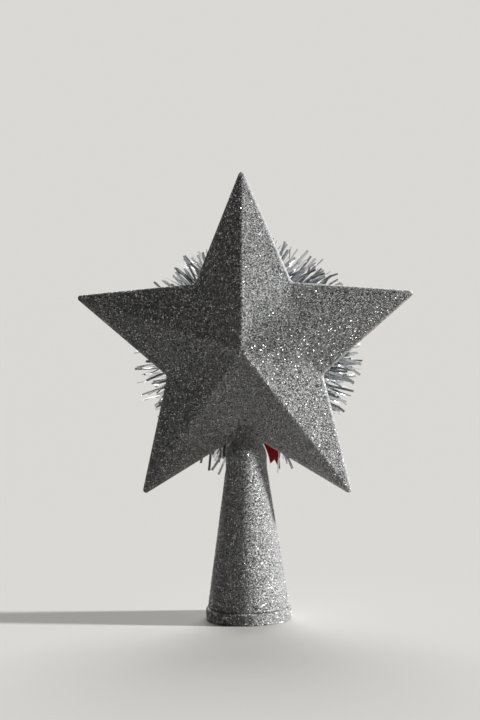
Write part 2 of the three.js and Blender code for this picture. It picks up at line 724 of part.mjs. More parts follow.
function dollHair() {
  const curls = [];
  const ringWidth = FACE_HALF_WIDTH + CURL_RING_OFFSET;
  const ringHeight = FACE_HALF_HEIGHT + CURL_RING_OFFSET;
  const sweep = 180 - 2 * CURL_START;
  const curlSteps = Math.round((sweep * degrees * (ringWidth + ringHeight)) / 2 / CURL_PITCH);
  for (let i = 0; i <= curlSteps; i += 1) {
    const turn = (CURL_START + (sweep * i) / curlSteps) * degrees;
    const centre = new THREE.Vector3(
      ringWidth * Math.cos(turn),
      facePlaneY + CURL_RADIUS * (i % 2 === 0 ? 0.9 : 1.15),
      faceZ + ringHeight * Math.sin(turn),
    );
    const radii = new THREE.Vector3(CURL_RADIUS, CURL_RADIUS * CURL_LENGTHENING, CURL_RADIUS);
    curls.push(ball(centre, radii, CURL_SIDES, CURL_RINGS));
  }
  const fringeSteps = Math.round((2 * FRINGE_HALF_WIDTH) / FRINGE_PITCH);
  for (let i = 0; i <= fringeSteps; i += 1) {
    const part = (2 * i) / fringeSteps - 1;
    const x = part * FRINGE_HALF_WIDTH;
    const z = FACE_HALF_HEIGHT - FRINGE_BELOW_CROWN - FRINGE_DROP * part * part;
    const centre = new THREE.Vector3(x, facePlaneY + headDepthAt(x, z) - FRINGE_SINK, faceZ + z);
    const radii = new THREE.Vector3(FRINGE_RADIUS, FRINGE_RADIUS, FRINGE_RADIUS);
    curls.push(ball(centre, radii, CURL_SIDES, CURL_RINGS));
  }
  const span = 2 * FACE_HALF_HEIGHT;
  const behindDisc = box(-span, span, -span, facePlaneY, faceZ - span, faceZ + span);
  const head = faceSolid(GAP, FACE_DEPTH + GAP, true, FACE_SIDES, FACE_RINGS);
  const hair = joined(curls).subtract(behindDisc).subtract(head);
  const lumps = hair.decompose();
  return lumps.reduce((largest, lump) => (lump.volume() > largest.volume() ? lump : largest));
}

// Bow

const bowPoint = (x, y, z) => new THREE.Vector3(BOW_OFFSET_X + x, knotY + y, knotZ + z);

function bowKnot() {
  const radii = new THREE.Vector3(KNOT_HALF_WIDTH, KNOT_HALF_DEPTH, KNOT_HALF_HEIGHT);
  return ball(bowPoint(0, 0, 0), radii, KNOT_SIDES, KNOT_RINGS);
}

// One cross-section of the ribbon, six points round, with its middle drawn back by cut
function ribbonSection(centre, sideways, outwards, forwards, cut) {
  const half = RIBBON_THICKNESS / 2;
  const tip = forwards.clone().multiplyScalar(cut);
  const left = centre.clone().sub(sideways).add(tip);
  const right = centre.clone().add(sideways).add(tip);
  return [
    left.clone().addScaledVector(outwards, -half),
    centre.clone().addScaledVector(outwards, -half),
    right.clone().addScaledVector(outwards, -half),
    right.clone().addScaledVector(outwards, half),
    centre.clone().addScaledVector(outwards, half),
    left.clone().addScaledVector(outwards, half),
  ];
}

function bowLoop(side) {
  const centreAt = (part) => {
    const turn = part * Math.PI;
    const depth = LOOP_DEPTH * Math.sin(turn) * Math.cos(turn) + RIBBON_THICKNESS * Math.cos(turn);
    const forward = LOOP_FORWARD * Math.sin(turn);
    return bowPoint(side * (KNOT_HALF_WIDTH + GAP + LOOP_LENGTH * Math.sin(turn)), depth + forward, 0);
  };
  const rings = [];
  for (let i = 0; i <= LOOP_STEPS; i += 1) {
    const part = i / LOOP_STEPS;
    const forwards = centreAt(part + 0.01).sub(centreAt(part - 0.01)).normalize();
    const gather = RIBBON_GATHER + (1 - RIBBON_GATHER) * Math.sin(part * Math.PI);
    const sideways = new THREE.Vector3(0, 0, (RIBBON_WIDTH / 2) * gather);
    const outwards = new THREE.Vector3(forwards.y, -forwards.x, 0);
    rings.push(ribbonSection(centreAt(part), sideways, outwards, forwards, 0));
  }
  return solidWithEnds(rings);
}

function bowTail(side) {
  const startX = side * KNOT_HALF_WIDTH * 0.35;
  const startY = side * (RIBBON_THICKNESS / 2 + GAP);
  const bendX = startX + side * TAIL_SPREAD * 0.2;
  const bendZ = -KNOT_HALF_HEIGHT - TAIL_LENGTH * 0.45;
  const path = new THREE.QuadraticBezierCurve3(
    bowPoint(startX, startY, -KNOT_HALF_HEIGHT - GAP),
    bowPoint(bendX, TAIL_FORWARD + startY, bendZ),
    bowPoint(side * TAIL_SPREAD, TAIL_FORWARD, -KNOT_HALF_HEIGHT - TAIL_LENGTH + TAIL_CUT),
  );
  const rings = [];
  for (let i = 0; i <= TAIL_STEPS; i += 1) {
    const part = i / TAIL_STEPS;
    const forwards = path.getTangent(part);
    const twist = side * TAIL_TWIST_ANGLE * part * degrees;
    const sideways = new THREE.Vector3(Math.cos(twist), Math.sin(twist), 0);
    sideways.addScaledVector(forwards, -sideways.dot(forwards)).normalize();
    const outwards = new THREE.Vector3().crossVectors(forwards, sideways).normalize();
    const width = (RIBBON_WIDTH / 2) * Math.min(1, RIBBON_GATHER + (1 - RIBBON_GATHER) * 4 * part);
    sideways.multiplyScalar(width);
    const cut = i === TAIL_STEPS ? TAIL_CUT : 0;
    rings.push(ribbonSection(path.getPoint(part), sideways, outwards, forwards, cut));
  }
  return solidWithEnds(rings);
}

// Materials

const glitterSilver = new THREE.MeshStandardMaterial({ color: 0xb9b8b4, roughness: 0.45, metalness: 0.8 });
const filmSilver = new THREE.MeshStandardMaterial({ color: 0xd4d6d8, roughness: 0.2, metalness: 1 });
const cardSilver = new THREE.MeshStandardMaterial({ color: 0xc4c5c7, roughness: 0.5, metalness: 0.3 });
const wireSteel = new THREE.MeshStandardMaterial({ color: 0x9b9c9d, roughness: 0.35, metalness: 1 });
const skin = new THREE.MeshStandardMaterial({ color: 0xf0cdb8, roughness: 0.45, metalness: 0 });
const eyeGlass = new THREE.MeshStandardMaterial({ color: 0x4a6f93, roughness: 0.08, metalness: 0 });
const hairBrown = new THREE.MeshStandardMaterial({ color: 0xa9743c, roughness: 0.6, metalness: 0 });
const satinRed = new THREE.MeshStandardMaterial({ color: 0xa3101c, roughness: 0.4, metalness: 0 });

// Assembly

const topper = new THREE.Group();

function place(name, solid, material) {
  const mesh = new THREE.Mesh(geometryOf(solid), material);
  mesh.name = name;
  topper.add(mesh);
}

place('cone_socket', coneSocket(), glitterSilver);
place('foot_band', footBand(), glitterSilver);
place('rear_star_shell', rearStarShell(), glitterSilver);
place('front_star_shell', frontStarShell(), glitterSilver);
place('backing_disc', backingDisc(), cardSilver);
const sectorNames = ['upper_right', 'upper_left', 'lower_left', 'lower_right'];
sectorNames.forEach((name, sector) => place(`tinsel_${name}`, tinselSector(sector), filmSilver));
tieTurns.forEach((turn, i) => place(`wire_tie_${i + 1}`, tieWire(turn), wireSteel));
place('face_mask', faceMask(), skin);
place('eye_right', eyeBall(1, EYE_RADIUS), eyeGlass);
place('eye_left', eyeBall(-1, EYE_RADIUS), eyeGlass);
place('doll_hair', dollHair(), hairBrown);
place('bow_knot', bowKnot(), satinRed);
place('bow_loop_right', bowLoop(1), satinRed);
place('bow_loop_left', bowLoop(-1), satinRed);
place('bow_tail_right', bowTail(1), satinRed);
place('bow_tail_left', bowTail(-1), satinRed);

export default topper;
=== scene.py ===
# Looks for a star tree topper with a doll's face: a glittered star and socket, a wreath of tinsel, a face
# and a bow. Sizes are in millimetres and become metres where a mesh is made. +Z is up, and the doll looks
# along +Y.

import math
import random

import bpy
from mathutils import Matrix, Vector


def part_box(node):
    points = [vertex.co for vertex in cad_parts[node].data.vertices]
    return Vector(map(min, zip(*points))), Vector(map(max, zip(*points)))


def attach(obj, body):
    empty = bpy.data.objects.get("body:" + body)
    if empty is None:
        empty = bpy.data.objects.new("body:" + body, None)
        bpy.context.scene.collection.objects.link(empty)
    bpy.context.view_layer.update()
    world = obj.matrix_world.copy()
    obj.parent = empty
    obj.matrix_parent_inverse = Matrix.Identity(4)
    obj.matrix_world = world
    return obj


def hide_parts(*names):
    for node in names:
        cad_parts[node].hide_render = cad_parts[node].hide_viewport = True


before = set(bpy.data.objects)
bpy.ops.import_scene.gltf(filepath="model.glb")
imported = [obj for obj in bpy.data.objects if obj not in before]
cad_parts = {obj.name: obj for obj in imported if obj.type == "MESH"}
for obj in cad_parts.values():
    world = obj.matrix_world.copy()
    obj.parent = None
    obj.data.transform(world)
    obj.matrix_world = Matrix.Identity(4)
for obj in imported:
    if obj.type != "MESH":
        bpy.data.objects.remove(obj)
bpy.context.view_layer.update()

MM = 0.001

# Camera, from the photograph's tips, notches and foot
CAMERA_LENS = 85.0
CAMERA_LONG_SIDE = 36.0
CAMERA_AZIMUTH = 6.91
CAMERA_ELEVATION = 2.80
CAMERA_DISTANCE = 836.0
CAMERA_NEAREST = 10.0
CAMERA_FARTHEST = 40000.0
CAMERA_ROLL = -0.93
LOOK_POINT = Vector((-2.3, 0.0, 127.9))

# Star, as sharp outline radii before the tips and notches are rounded. A part is a share of the way up a
# facet, and heights of the pale rim are from the facet's foot.
ARMS = 5
STAR_TIP = 89.3
STAR_NOTCH = 40.5
STAR_DEPTH = 17.0
TIP_CURVE = 1.5
NOTCH_CURVE = 3.0
RIDGE_CURVE = 0.9
VALLEY_SPREAD = 40.0
EDGE_STRAIGHT = 0.8
EDGE_CURVE = 1.6
SEAM_BEVEL = 0.25
RIDGE_SHARP_PART = 0.125
PEAK_PART = 0.985
PEAK_BLUNTING = 0.99
FLAKES_BELOW_FACET = 0.3
SEAT_MARGIN = 0.5
PALE_RIM_BELOW = -0.1
PALE_RIM_ENDS = 0.4

# Tree socket and foot band
SPIGOT_RADIUS = 19.0
CONE_FOOT_RADIUS = 20.0
CONE_TOP_RADIUS = 10.9
NECK_RADIUS = 10.1
NOSE_HEIGHT = 10.4
NOSE_WALL = 2.4
SOCKET_WALL = 1.4
SHOULDER_Z = 6.0
CONE_TOP_Z = 69.0
NECK_START_Z = 75.0
NECK_END_Z = 80.0
NECK_BLEND = 2.0
SHOULDER_BEVEL = 0.5
SHOULDER_TURN_IN = 0.1
SPIGOT_BEVEL = 0.2
SOCKET_SIDES = 112
FOOT_RADIUS = 21.0
FOOT_HEIGHT = 5.7
FOOT_EDGE = 0.9
FOOT_LOWER_EDGE = 0.35
FOOT_BEVEL = 0.15
FOOT_FLAKELESS = 0.3
FOOT_CLEARANCE = 0.3

# Fillet of lacquer in the lower notch, from the socket's nose up on to the star, and the slope of the notch
NOTCH_SLOPE = math.radians(31.1)
NOTCH_ROUNDING = 1.6
NOTCH_GAP = 0.6
FILLET_RADIUS = 8.2
FILLET_SWEEP = 84.0
FILLET_RISE = 4.6
FILLET_LEAST_RISE = 0.8
FILLET_FALL = 0.8
FILLET_SINK = 0.3
FILLET_FLARE = 1.15
FILLET_FULLNESS = 0.42
FILLET_BITE = 0.12
FILLET_BACK_Y = -0.6
FILLET_BACK_TAPER = 0.8
FILLET_SECTION = (0, 0.15, 0.3, 0.45, 0.6, 0.75, 0.9, 1)
FILLET_STEPS = 44

# Glitter: the flakes in the coat and those that stand up from it. Finer ones don't show, so both kinds are
# drawn as coarse as they need to be.
FLAKE_PITCH = 0.3
FLAKE_LEAN = 1.5
RIM_LEAN = 0.6
LOOSE_FLAKE_RADIUS = 0.22
LOOSE_FLAKE_DEPTH = 0.18
LOOSE_FLAKES_PER_MM2 = 1.9
LOOSE_FLAKE_TILT = 58.0
FLAKE_SUNK_PART = 0.8
LEAST_FLAKE = 0.7
LARGEST_FLAKE = 1.2

# Card disc
DISC_EDGE = 0.25
DISC_BORDER = 2.0
DISC_SIDES = 120

# Wreath of tinsel. A strand leaves the core outwards at 0 degrees, forwards at 90 and inwards at 180. Twists,
# rolls and the bow's reach are in radians. Pairs are the least and the most that chance gives.
WREATH_RADIUS = 35.0
CORE_RISE = 1.7
CORE_WIRE_RADIUS = 0.55
CORE_TWIST_RADIUS = 0.6
CORE_TWISTS = 46
STEPS_PER_TWIST = 10
CORE_WIRE_SIDES = 7
STRAND_COUNT = 1700
STRAND_LENGTH = 20.0
STRAND_STEPS = 6
STRAND_FLATTENING = 0.68
STRAND_ROOT = 0.3
STRAND_LENGTHS = (0.74, 1.16)
LONGER_BELOW = 3.0
STRAND_STRAYING = 12.0
STRAND_BEND = 0.08
FURTHEST_BACK = -9.0
FURTHEST_IN = 158.0
INWARD_THINNING = 1.1
BOW_REACH = 0.66
BOW_FADE = 0.1
BOW_TAKES = 152.0
STRAIGHT_IN = (170.0, 182.0)
STRAIGHT_IN_CHANCE = 0.4
LEAST_INWARD = 0.05
LEAST_ROOM = 3.0
NO_HAIR_BELOW_SINE = -0.8
HAIR_CLEARANCE = 0.3
CURLED_CHANCE = 0.12
CURLED_SIZES = (0.5, 1.1)
STRAIGHT_SIZES = (0.0, 0.25)
FILM_CURL_TURNS = (1.2, 2.4)
FULL_CURL_LENGTH = 10.0
OVER_DISC_REACH = 4.5
ABOVE_DISC = 0.15
ABOVE_SEAT = 0.1
NECK_CLEARANCE = 0.5
FILM_WIDTH = 1.3
FILM_WIDTHS = (0.8, 1.15)
FILM_TWIST = 1.5
FILM_THICKNESS = 0.07
WREATH_SEED = 41

# Where the wreath is parted or thinned, so that it doesn't hide the ribbon's ends
PARTED_TURNS = (-86.0, -70.0)
THINNED_TURNS = (-112.0, -98.0)
THINNED_TO_ONE_IN = 3
BEFORE_RIBBON_Y = 2.0
SHORT_STRAND_REACH = 5.0

# Strands beside the neck: where each tip hangs as x and z, the turn of its root, its width and its shade
NECK_TIP_FORWARD = 0.9
NECK_STRAND_BEND = 0.8
NECK_ROLLS = (0.3, 0.9)
NECK_TWIST = 0.5
NECK_STRANDS = [
    {"tip": (-15.6, 69.9), "root": -98, "width": 1.2, "shade": 0.9},
    {"tip": (-18.9, 72.1), "root": -93, "width": 1.2, "shade": 0.8},
    {"tip": (-17.3, 76.8), "root": -101, "width": 1.05, "shade": 0.85},
    {"tip": (-20.3, 71.9), "root": -116, "width": 0.9, "shade": 0.4},
    {"tip": (-24.4, 75.7), "root": -120, "width": 1.0, "shade": 1.0},
    {"tip": (-13.1, 77.8), "root": -108, "width": 0.8, "shade": 0.3},
    {"tip": (-11.9, 79.0), "root": -100, "width": 0.7, "shade": 0.5},
    {"tip": (-14.6, 79.0), "root": -95, "width": 0.9, "shade": 0.5},
    {"tip": (-12.4, 80.5), "root": -112, "width": 0.8, "shade": 0.4},
    {"tip": (14.2, 70.8), "root": -63, "width": 0.9, "shade": 0.8},
    {"tip": (21.7, 72.8), "root": -71, "width": 0.6, "shade": 0.55},
    {"tip": (19.3, 75.3), "root": -68, "width": 0.7, "shade": 0.4},
    {"tip": (15.3, 79.0), "root": -63, "width": 0.9, "shade": 1.0},
    {"tip": (17.1, 77.6), "root": -62, "width": 0.8, "shade": 0.9},
]

# Wire ties over the wreath's core
TIE_RADIUS = 0.4
TIE_SIDES = 10
TIE_STEPS = 16
TIE_FOOT = 0.3
TIE_ARCH = 2.1
TIE_TURNS = (54.0, 126.0, 198.0, 342.0)

# Doll's face
FACE_HALF_WIDTH = 18.5
FACE_HALF_HEIGHT = 23.0
FACE_DEPTH = 19.0
FACE_FLATNESS = 0.75
FACE_RISE = 0.5
JAW_TAPER = 0.2
EYE_OPENING_HALF_WIDTH = 3.7
EYE_OPENING_HALF_HEIGHT = 2.3
LID_THICKNESS = 0.6
EYE_CLEARANCE = 0.25
LID_BLEND = 0.5
MOUTH_Z = -12.4
MOUTH_HALF_WIDTH = 3.7
MOUTH_SMILE = 0.055
MOUTH_CREASE_ENDS = 0.2
MOUTH_CREASE = 0.3
MOUTH_DEPTH = 0.75
NOSE_ROOT_Z = 4.5
NOSE_TIP_Z = -6.4
NOSE_ROOT_RISE = 0.45
NOSE_TIP_RISE = 2.5
NOSE_ROOT_HALF_WIDTH = 1.25
NOSE_WIDENING = 0.8
NOSE_LOWER_END = (-9.0, -7.2)
NOSE_UPPER_END = (7.5, 3.0)
FACE_GRID = 150
CUT_FACE_SHARP_ANGLE = 35.0

# The face's features, each with its x and z, how far it rises, and its half width and half height. Those
# with an x over 0 are on both sides.
FEATURES = {
    "forehead": (0, 10.5, 0.9, 11, 7),
    "cheek": (9.6, -8.2, 1.5, 5.0, 4.8),
    "eye hollow": (7.6, -0.4, -1.2, 4.6, 3.2),
    "brow ridge": (7.4, 4.6, 0.5, 4.6, 1.6),
    "nose tip": (0, -6.5, 0.8, 1.8, 1.5),
    "nose wing": (2.15, -7.1, 1.05, 1.0, 1.05),
    "nostril": (1.15, -8.35, -0.55, 0.6, 0.45),
    "mouth mound": (0, -12.6, 1.2, 5.0, 4.0),
    "upper lip": (1.25, -11.35, 0.7, 1.5, 0.7),
    "upper lip's end": (2.9, -11.8, 0.3, 1.2, 0.6),
    "lower lip": (0, -13.6, 0.95, 2.3, 0.85),
    "groove under the nose": (0, -9.9, -0.25, 0.6, 1.0),
    "fold under the lip": (0, -15.7, -0.65, 3.6, 1.0),
    "chin": (0, -18.7, 1.5, 4.2, 2.9),
}

# Paint on the face. Soft patches are written as the features are, with their strength for the rise.
BLUSH = (10.4, -7.4, 0.62, 4.6, 3.8)
LID_SHADOW = (7.8, 2.0, 0.45, 4.0, 1.3)
# The nostril patch is painted shade, laid with the lids' eye shadow.
NOSTRIL = (1.25, -8.6, 0.9, 0.6, 0.4)
PAINT_FROM_Y = 6.0
UPPER_LIP = 1.65
LOWER_LIP = 2.0
LIP_DIP = 0.42
LIP_DIP_WIDTH = 0.75
LIP_EDGE = 0.12
BROW_Z = 7.0
BROW_ARCH = 0.075
BROW_CROWN_X = 8.4
BROW_HALF_HEIGHT = 0.62
BROW_ENDS = (2.8, 13.0)
BROW_OUTER_TAPER = (13.2, 8.0)
BROW_INNER_TAPER = (2.4, 4.6)
BROW_LEAST = 0.02
BROW_STRENGTH = 0.85
LINER_OVERHANG = 0.6
UPPER_LINER_EDGE = (0.62, 0.3)
LOWER_LINER_EDGE = (0.3, 0.12)
UPPER_LINER_LIFT = 0.15
LOWER_LINER_DROP = 0.05
LOWER_LINER = 0.55

# Eyes and lashes. The iris lies between two places on the way from the pupil's middle to the eye's side.
EYE_SPOKES = 96
EYE_RINGS = 72
EYE_SOCKET_SIDES = 48
EYE_SOCKET_RINGS = 30
IRIS = (0.15, 0.34)
IRIS_SEED = 7
ALMOND_STEPS = 20
ALMOND_REACH = 4.0
ALMOND_FLARE_X = 1.04
ALMOND_FLARE_Z = 1.08
LASH_COUNT = 15
LASH_RADIUS = 0.1
LASH_SIDES = 4
LASH_ROOT = 0.5
LASH_ROW_PART = 0.93
LASH_LENGTH = 1.5
LASH_SHORTER_ASIDE = 0.4
LASH_FAN = 0.9
LASH_FORWARD = 0.75
LASH_RISE = 0.35
LASH_CURL = 0.75
LASH_TAPERS = [1, 0.9, 0.7, 0.45, 0.15]

# Hair. Angles are in degrees. Pairs are the least and the most that chance gives, but for the depths at which
# every other curl lies.
CURL_RADIUS = 5.6
CURL_COUNT = 13
CURL_START = -48.0
CURL_RING_OFFSET = 0.2
FRINGE_RADIUS = 4.8
FRINGE_COUNT = 5
FRINGE_HALF_WIDTH = 12.6
FRINGE_BELOW_CROWN = 6.2
FRINGE_DROP = 4.0
FRINGE_SINK = 1.8
HAIR_RADIUS = 0.15
HAIR_SIDES = 3
HAIRS_PER_CURL = 50
CURL_STEPS = 38
HAIR_TAPERS = [
    min(1.0, 0.4 + 3 * step / CURL_STEPS, 0.25 + 4 * (1 - step / CURL_STEPS))
    for step in range(CURL_STEPS + 1)
]
CURL_DEPTHS = (0.9, 1.15)
CURL_UNEVENNESS = 0.1
CURL_UNEVEN_BEAT = 2.3
FRINGE_FAN = 0.6
HAIR_SEED = 19
CURL_SWAY = 0.3
CURL_LEAN = 0.55
LOCK_TURNS = (2.7, 3.2)
LOCK_REACH = 0.83
LOCK_ROUNDNESS = 0.13
COMB_DEPTH = 0.06
LOCK_BACK = 112.0
LOCK_FRONT = 8.0
STRAY_CHANCE = 0.1
STRAY_REACH = (1.04, 1.14)
COMBED_REACH = (0.96, 1.01)
WANDER = (1.0, 3.5)
WANDER_BEATS = (3, 9)
SHORTEST_HAIR = 0.86
# Hair shades: painted light on the middle of each lock and on its combed ridges, painted shade at its edges
# and in its grooves, and a share by chance.
HAIR_SHADE = 0.14
LOCK_MIDDLE_PAINTED_LIGHT = 0.3
COMB_RIDGE_PAINTED_LIGHT = 0.3
SHADE_CHANCE = (-0.2, 0.34)
ABOVE_CARD = 0.05
UNDERLAYER_PART = 0.85
UNDERLAYER_SIDES = 24
UNDERLAYER_RINGS = 16

# Ribbon bow
RIBBON_WIDTH = 7.0
RIBBON_THICKNESS = 0.35
WEAVE_STEP = 0.1
LOOP_LENGTH = 15.0
LOOP_PINCH = 0.55
LOOP_TUCK = 0.8
LOOP_HALF_DEPTH = 3.9
LOOP_PLUMPNESS = 1.7
LOOP_ROOT_DEPTH = 0.8
LOOP_FORWARD = 1.1
LOOP_SKEW = 1.1
LOOP_DROOP = 0.9
LOOP_CREASE = 0.5
LOOP_CREASE_PHASE = 0.6
LOOP_RIPPLE = 0.22
LOOP_RIPPLE_BEATS = 2.2
LOOP_END_SLANT = 0.9
LOOP_END_ROUNDING = 0.5
LOOP_STEPS = 60
LOOP_ACROSS = 16
KNOT_FOLD = 0.055
KNOT_FOLD_BEAT = 9.0
KNOT_FOLD_SWAY = 1.1
KNOT_SQUARENESS = 3.2
KNOT_FULLNESS = 0.42
KNOT_END_INSET = 0.25
KNOT_SIDE_INSET = 0.1
KNOT_DOWN = 28
KNOT_AROUND = 56
TAIL_PINCH = 0.5
TAIL_CREASE = 0.5
TAIL_CREASE_BEATS = 2.5
TAIL_WAVE = 0.45
TAIL_WAVE_BEAT = 5.5
TAIL_WAVE_LEAN = 0.8
TAIL_TOP_ASIDE = 1.2
TAIL_TOP_FORWARD = 0.6
TAIL_TUCK = 1.2
TAIL_CUT_MIDDLE = 0.35
TAIL_STEPS = 36
TAIL_ACROSS = 14
TAIL_CUT = 3.5
TAIL_CUT_SLANT = 1.6

# Ribbon ends: where each bends and ends as x and z, and how far it has turned there, in degrees. Both hang
# forward.
TAIL_BEND_FORWARD = 3.0
TAIL_END_FORWARD = 1.8
RIGHT_TAIL = ((10.3, 91.0), (12.0, 75.5), -41.0)
LEFT_TAIL = ((-16.5, 93.0), (-17.4, 79.4), 46.0)

# Stage and light. The key comes from where the photograph's light does, and at a strength of pi a colour
# shows as written. Most of the light that the floor bounces comes from one patch.
FLOOR_RADIUS = 15000.0
FLOOR_MIDDLE_RADIUS = 1000.0
FLOOR_SIDES = 72
TOWARDS_KEY = Vector((0.69, 0.024, 0.28)).normalized()
KEY_STRENGTH = 4.2
KEY_ANGLE = 4.0
TOWARDS_FACE_LIGHT = Vector((-0.05, 0.76, 0.65)).normalized()
FACE_LIGHT_STRENGTH = 2.2
FACE_LIGHT_ANGLE = 50.0
SURROUNDINGS = "#242322"
PAPER = "#dddbd7"
PAPER_BOUNCE = "#3d3c3b"
# The paper's colour for bounced light is brighter round this point: a painted pool of light.
PAINTED_BOUNCE_POOL = Vector((130.0, -90.0, 0.0))
PAINTED_BOUNCE_POOL_CORE = 90.0
PAINTED_BOUNCE_POOL_EDGE = 170.0

# Places taken from the frame
disc_low, disc_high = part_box("backing_disc")
STAR_Z = (disc_low[2] + disc_high[2]) / 2 / MM
SEAT_Y = disc_low[1] / MM
DISC_RADIUS = (disc_high[0] - disc_low[0]) / 2 / MM
FACE_PLANE_Y = disc_high[1] / MM
CORE_Y = FACE_PLANE_Y + CORE_RISE
FACE_Z = STAR_Z + FACE_RISE
eye_low, eye_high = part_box("eye_right")
EYE_CENTRE = (Vector(eye_low) + Vector(eye_high)) / 2 / MM
EYE_RADIUS = (eye_high[2] - eye_low[2]) / 2 / MM
knot_low, knot_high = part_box("bow_knot")
KNOT_CENTRE = (Vector(knot_low) + Vector(knot_high)) / 2 / MM
KNOT_HALF = (Vector(knot_high) - Vector(knot_low)) / 2 / MM


# Meshes

SHARP_ANGLE = 42.0


def new_piece(name, points, faces, material):
    """A smooth mesh object from points in millimetres, with its faces turned outwards."""
    mesh = bpy.data.meshes.new(name)
    mesh.from_pydata([Vector(point) * MM for point in points], [], faces)
    mesh.materials.append(material)
    mesh.validate()
    piece = bpy.data.objects.new(name, mesh)
    bpy.context.collection.objects.link(piece)
    turn_outwards(mesh)
    mesh.shade_smooth()
    mesh.set_sharp_from_angle(angle=math.radians(SHARP_ANGLE))
    return piece


def turn_outwards(mesh):
    """Flips a closed mesh whose volume comes out negative."""
    mesh.calc_loop_triangles()
    volume = 0.0
    for triangle in mesh.loop_triangles:
        a, b, c = (mesh.vertices[i].co for i in triangle.vertices)
        volume += a.dot(b.cross(c))
    if volume < 0:
        mesh.flip_normals()


def surface_of_rings(rings):
    """Points and faces through closed rings, where a ring of one point closes an end."""
    points = [point for ring in rings for point in ring]
    faces = []
    start = 0
    for ring, following in zip(rings, rings[1:]):
        here = len(ring)
        ahead = len(following)
        count = max(here, ahead)
        for i in range(count):
            j = (i + 1) % count
            corners = [start + i % here, start + j % here]
            corners += [start + here + j % ahead, start + here + i % ahead]
            faces.append(list(dict.fromkeys(corners)))
        start += here
    return points, faces


def lathe_rings(profile, sides):
    """Rings round the Z axis for a profile of (radius, height) pairs."""
    rings = []
    for radius, height in profile:
        if radius == 0:
            rings.append([Vector((0, 0, height))])
            continue
        turns = [2 * math.pi * i / sides for i in range(sides)]
        rings.append([Vector((radius * math.cos(t), radius * math.sin(t), height)) for t in turns])
    return rings


def arc(centre, radius, start, end, steps):
    """(radius, height) pairs of a round corner in a lathe profile, with turns in degrees."""
    pairs = []
    for i in range(steps + 1):
        turn = math.radians(start + (end - start) * i / steps)
        pairs.append((centre[0] + radius * math.cos(turn), centre[1] + radius * math.sin(turn)))
    return pairs


def settled(piece):
    """The piece as a plain mesh, with its modifiers made real and removed."""
    graph = bpy.context.evaluated_depsgraph_get()
    finished = bpy.data.meshes.new_from_object(
        piece.evaluated_get(graph), preserve_all_data_layers=True, depsgraph=graph
    )
    piece.modifiers.clear()
    piece.data = finished
    return piece


def stand_for(piece, nodes):
    """The piece rides on the topper's one body and replaces its CAD nodes."""
    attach(piece, "root")
    if nodes:
        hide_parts(*nodes)


def add_node(tree, kind, settings=None, inputs=None):
    """Adds a node with its settings, and sets or links its inputs."""
    made = tree.nodes.new(kind)
    for name, value in (settings or {}).items():
        setattr(made, name, value)
    for name, value in (inputs or {}).items():
        if isinstance(value, bpy.types.NodeSocket):
            tree.links.new(value, made.inputs[name])
        else:
            made.inputs[name].default_value = value
    return made


# Colours and materials

# A Mix node's sockets for colours share their names with those for numbers, so they are told by their places
MIX_UNDER = 6
MIX_OVER = 7
MIX_RESULT = 2


def linear(hexadecimal):
    """An sRGB hex colour as linear red, green, blue and alpha."""
    channels = [int(hexadecimal[i:i + 2], 16) / 255 for i in (1, 3, 5)]
    values = [c / 12.92 if c <= 0.04045 else ((c + 0.055) / 1.055) ** 2.4 for c in channels]
    return (*values, 1.0)


def new_material(name, colour, roughness, metallic=0.0):
    """A node material with its plain values set, and its tree and shader to add to."""
    material = bpy.data.materials.new(name)
    material.use_nodes = True
    tree = material.node_tree
    shader = tree.nodes["Principled BSDF"]
    shader.inputs["Base Color"].default_value = linear(colour)
    shader.inputs["Roughness"].default_value = roughness
    shader.inputs["Metallic"].default_value = metallic
    material.diffuse_color = linear(colour)
    return material, tree, shader


def product(tree, first, second):
    """Two numbers multiplied."""
    return add_node(tree, "ShaderNodeMath", {"operation": "MULTIPLY"}, {0: first, 1: second}).outputs[0]


def map_range(tree, value, given=(0.0, 1.0), wanted=(0.0, 1.0)):
    """The value brought from the given range to the wanted one, and held inside it."""
    mapped = add_node(tree, "ShaderNodeMapRange", None, {
        "Value": value,
        "From Min": given[0],
        "From Max": given[1],
        "To Min": wanted[0],
        "To Max": wanted[1],
    })
    return mapped.outputs["Result"]


def mix_colour(tree, factor, under, over, blend="MIX"):
    """One colour laid over another by a factor from 0 to 1."""
    mixed = add_node(tree, "ShaderNodeMix", {"data_type": "RGBA", "blend_type": blend}, {
        "Factor": factor,
        MIX_UNDER: under,
        MIX_OVER: over,
    })
    return mixed.outputs[MIX_RESULT]


def tone_of(tree, value, stops, stepped=False):
    """The colour for a value from 0 to 1 on a ramp of (place, hex colour) stops, blended or in steps."""
    ramp_node = add_node(tree, "ShaderNodeValToRGB", None, {"Fac": value})
    ramp = ramp_node.color_ramp
    while len(ramp.elements) < len(stops):
        ramp.elements.new(1.0)
    for element, (place, colour) in zip(ramp.elements, stops):
        element.position = place
        element.color = linear(colour)
    if stepped:
        ramp.interpolation = "CONSTANT"
    return ramp_node.outputs["Color"]


def carried(tree, name):
    """A value that the mesh carries under that name."""
    return add_node(tree, "ShaderNodeAttribute", {"attribute_name": name}).outputs["Fac"]


def pattern(tree, kind, settings, pitch, inputs=None):
    """A texture node on the object's own coordinates, with a pitch in millimetres."""
    place = add_node(tree, "ShaderNodeTexCoord")
    return add_node(tree, kind, settings, {
        "Vector": place.outputs["Object"],
        "Scale": 1 / (pitch * MM),
        **(inputs or {}),
    }).outputs


def noise(tree, pitch, detail):
    """Smooth noise with a pitch in millimetres."""
    return pattern(tree, "ShaderNodeTexNoise", None, pitch, {"Detail": detail})["Fac"]


def flake_cells(tree, feature):
    """The cells that the flakes in the coat lie in: their colours, or how far the gaps are."""
    settings = {"voronoi_dimensions": "3D", "feature": feature}
    return pattern(tree, "ShaderNodeTexVoronoi", settings, FLAKE_PITCH)


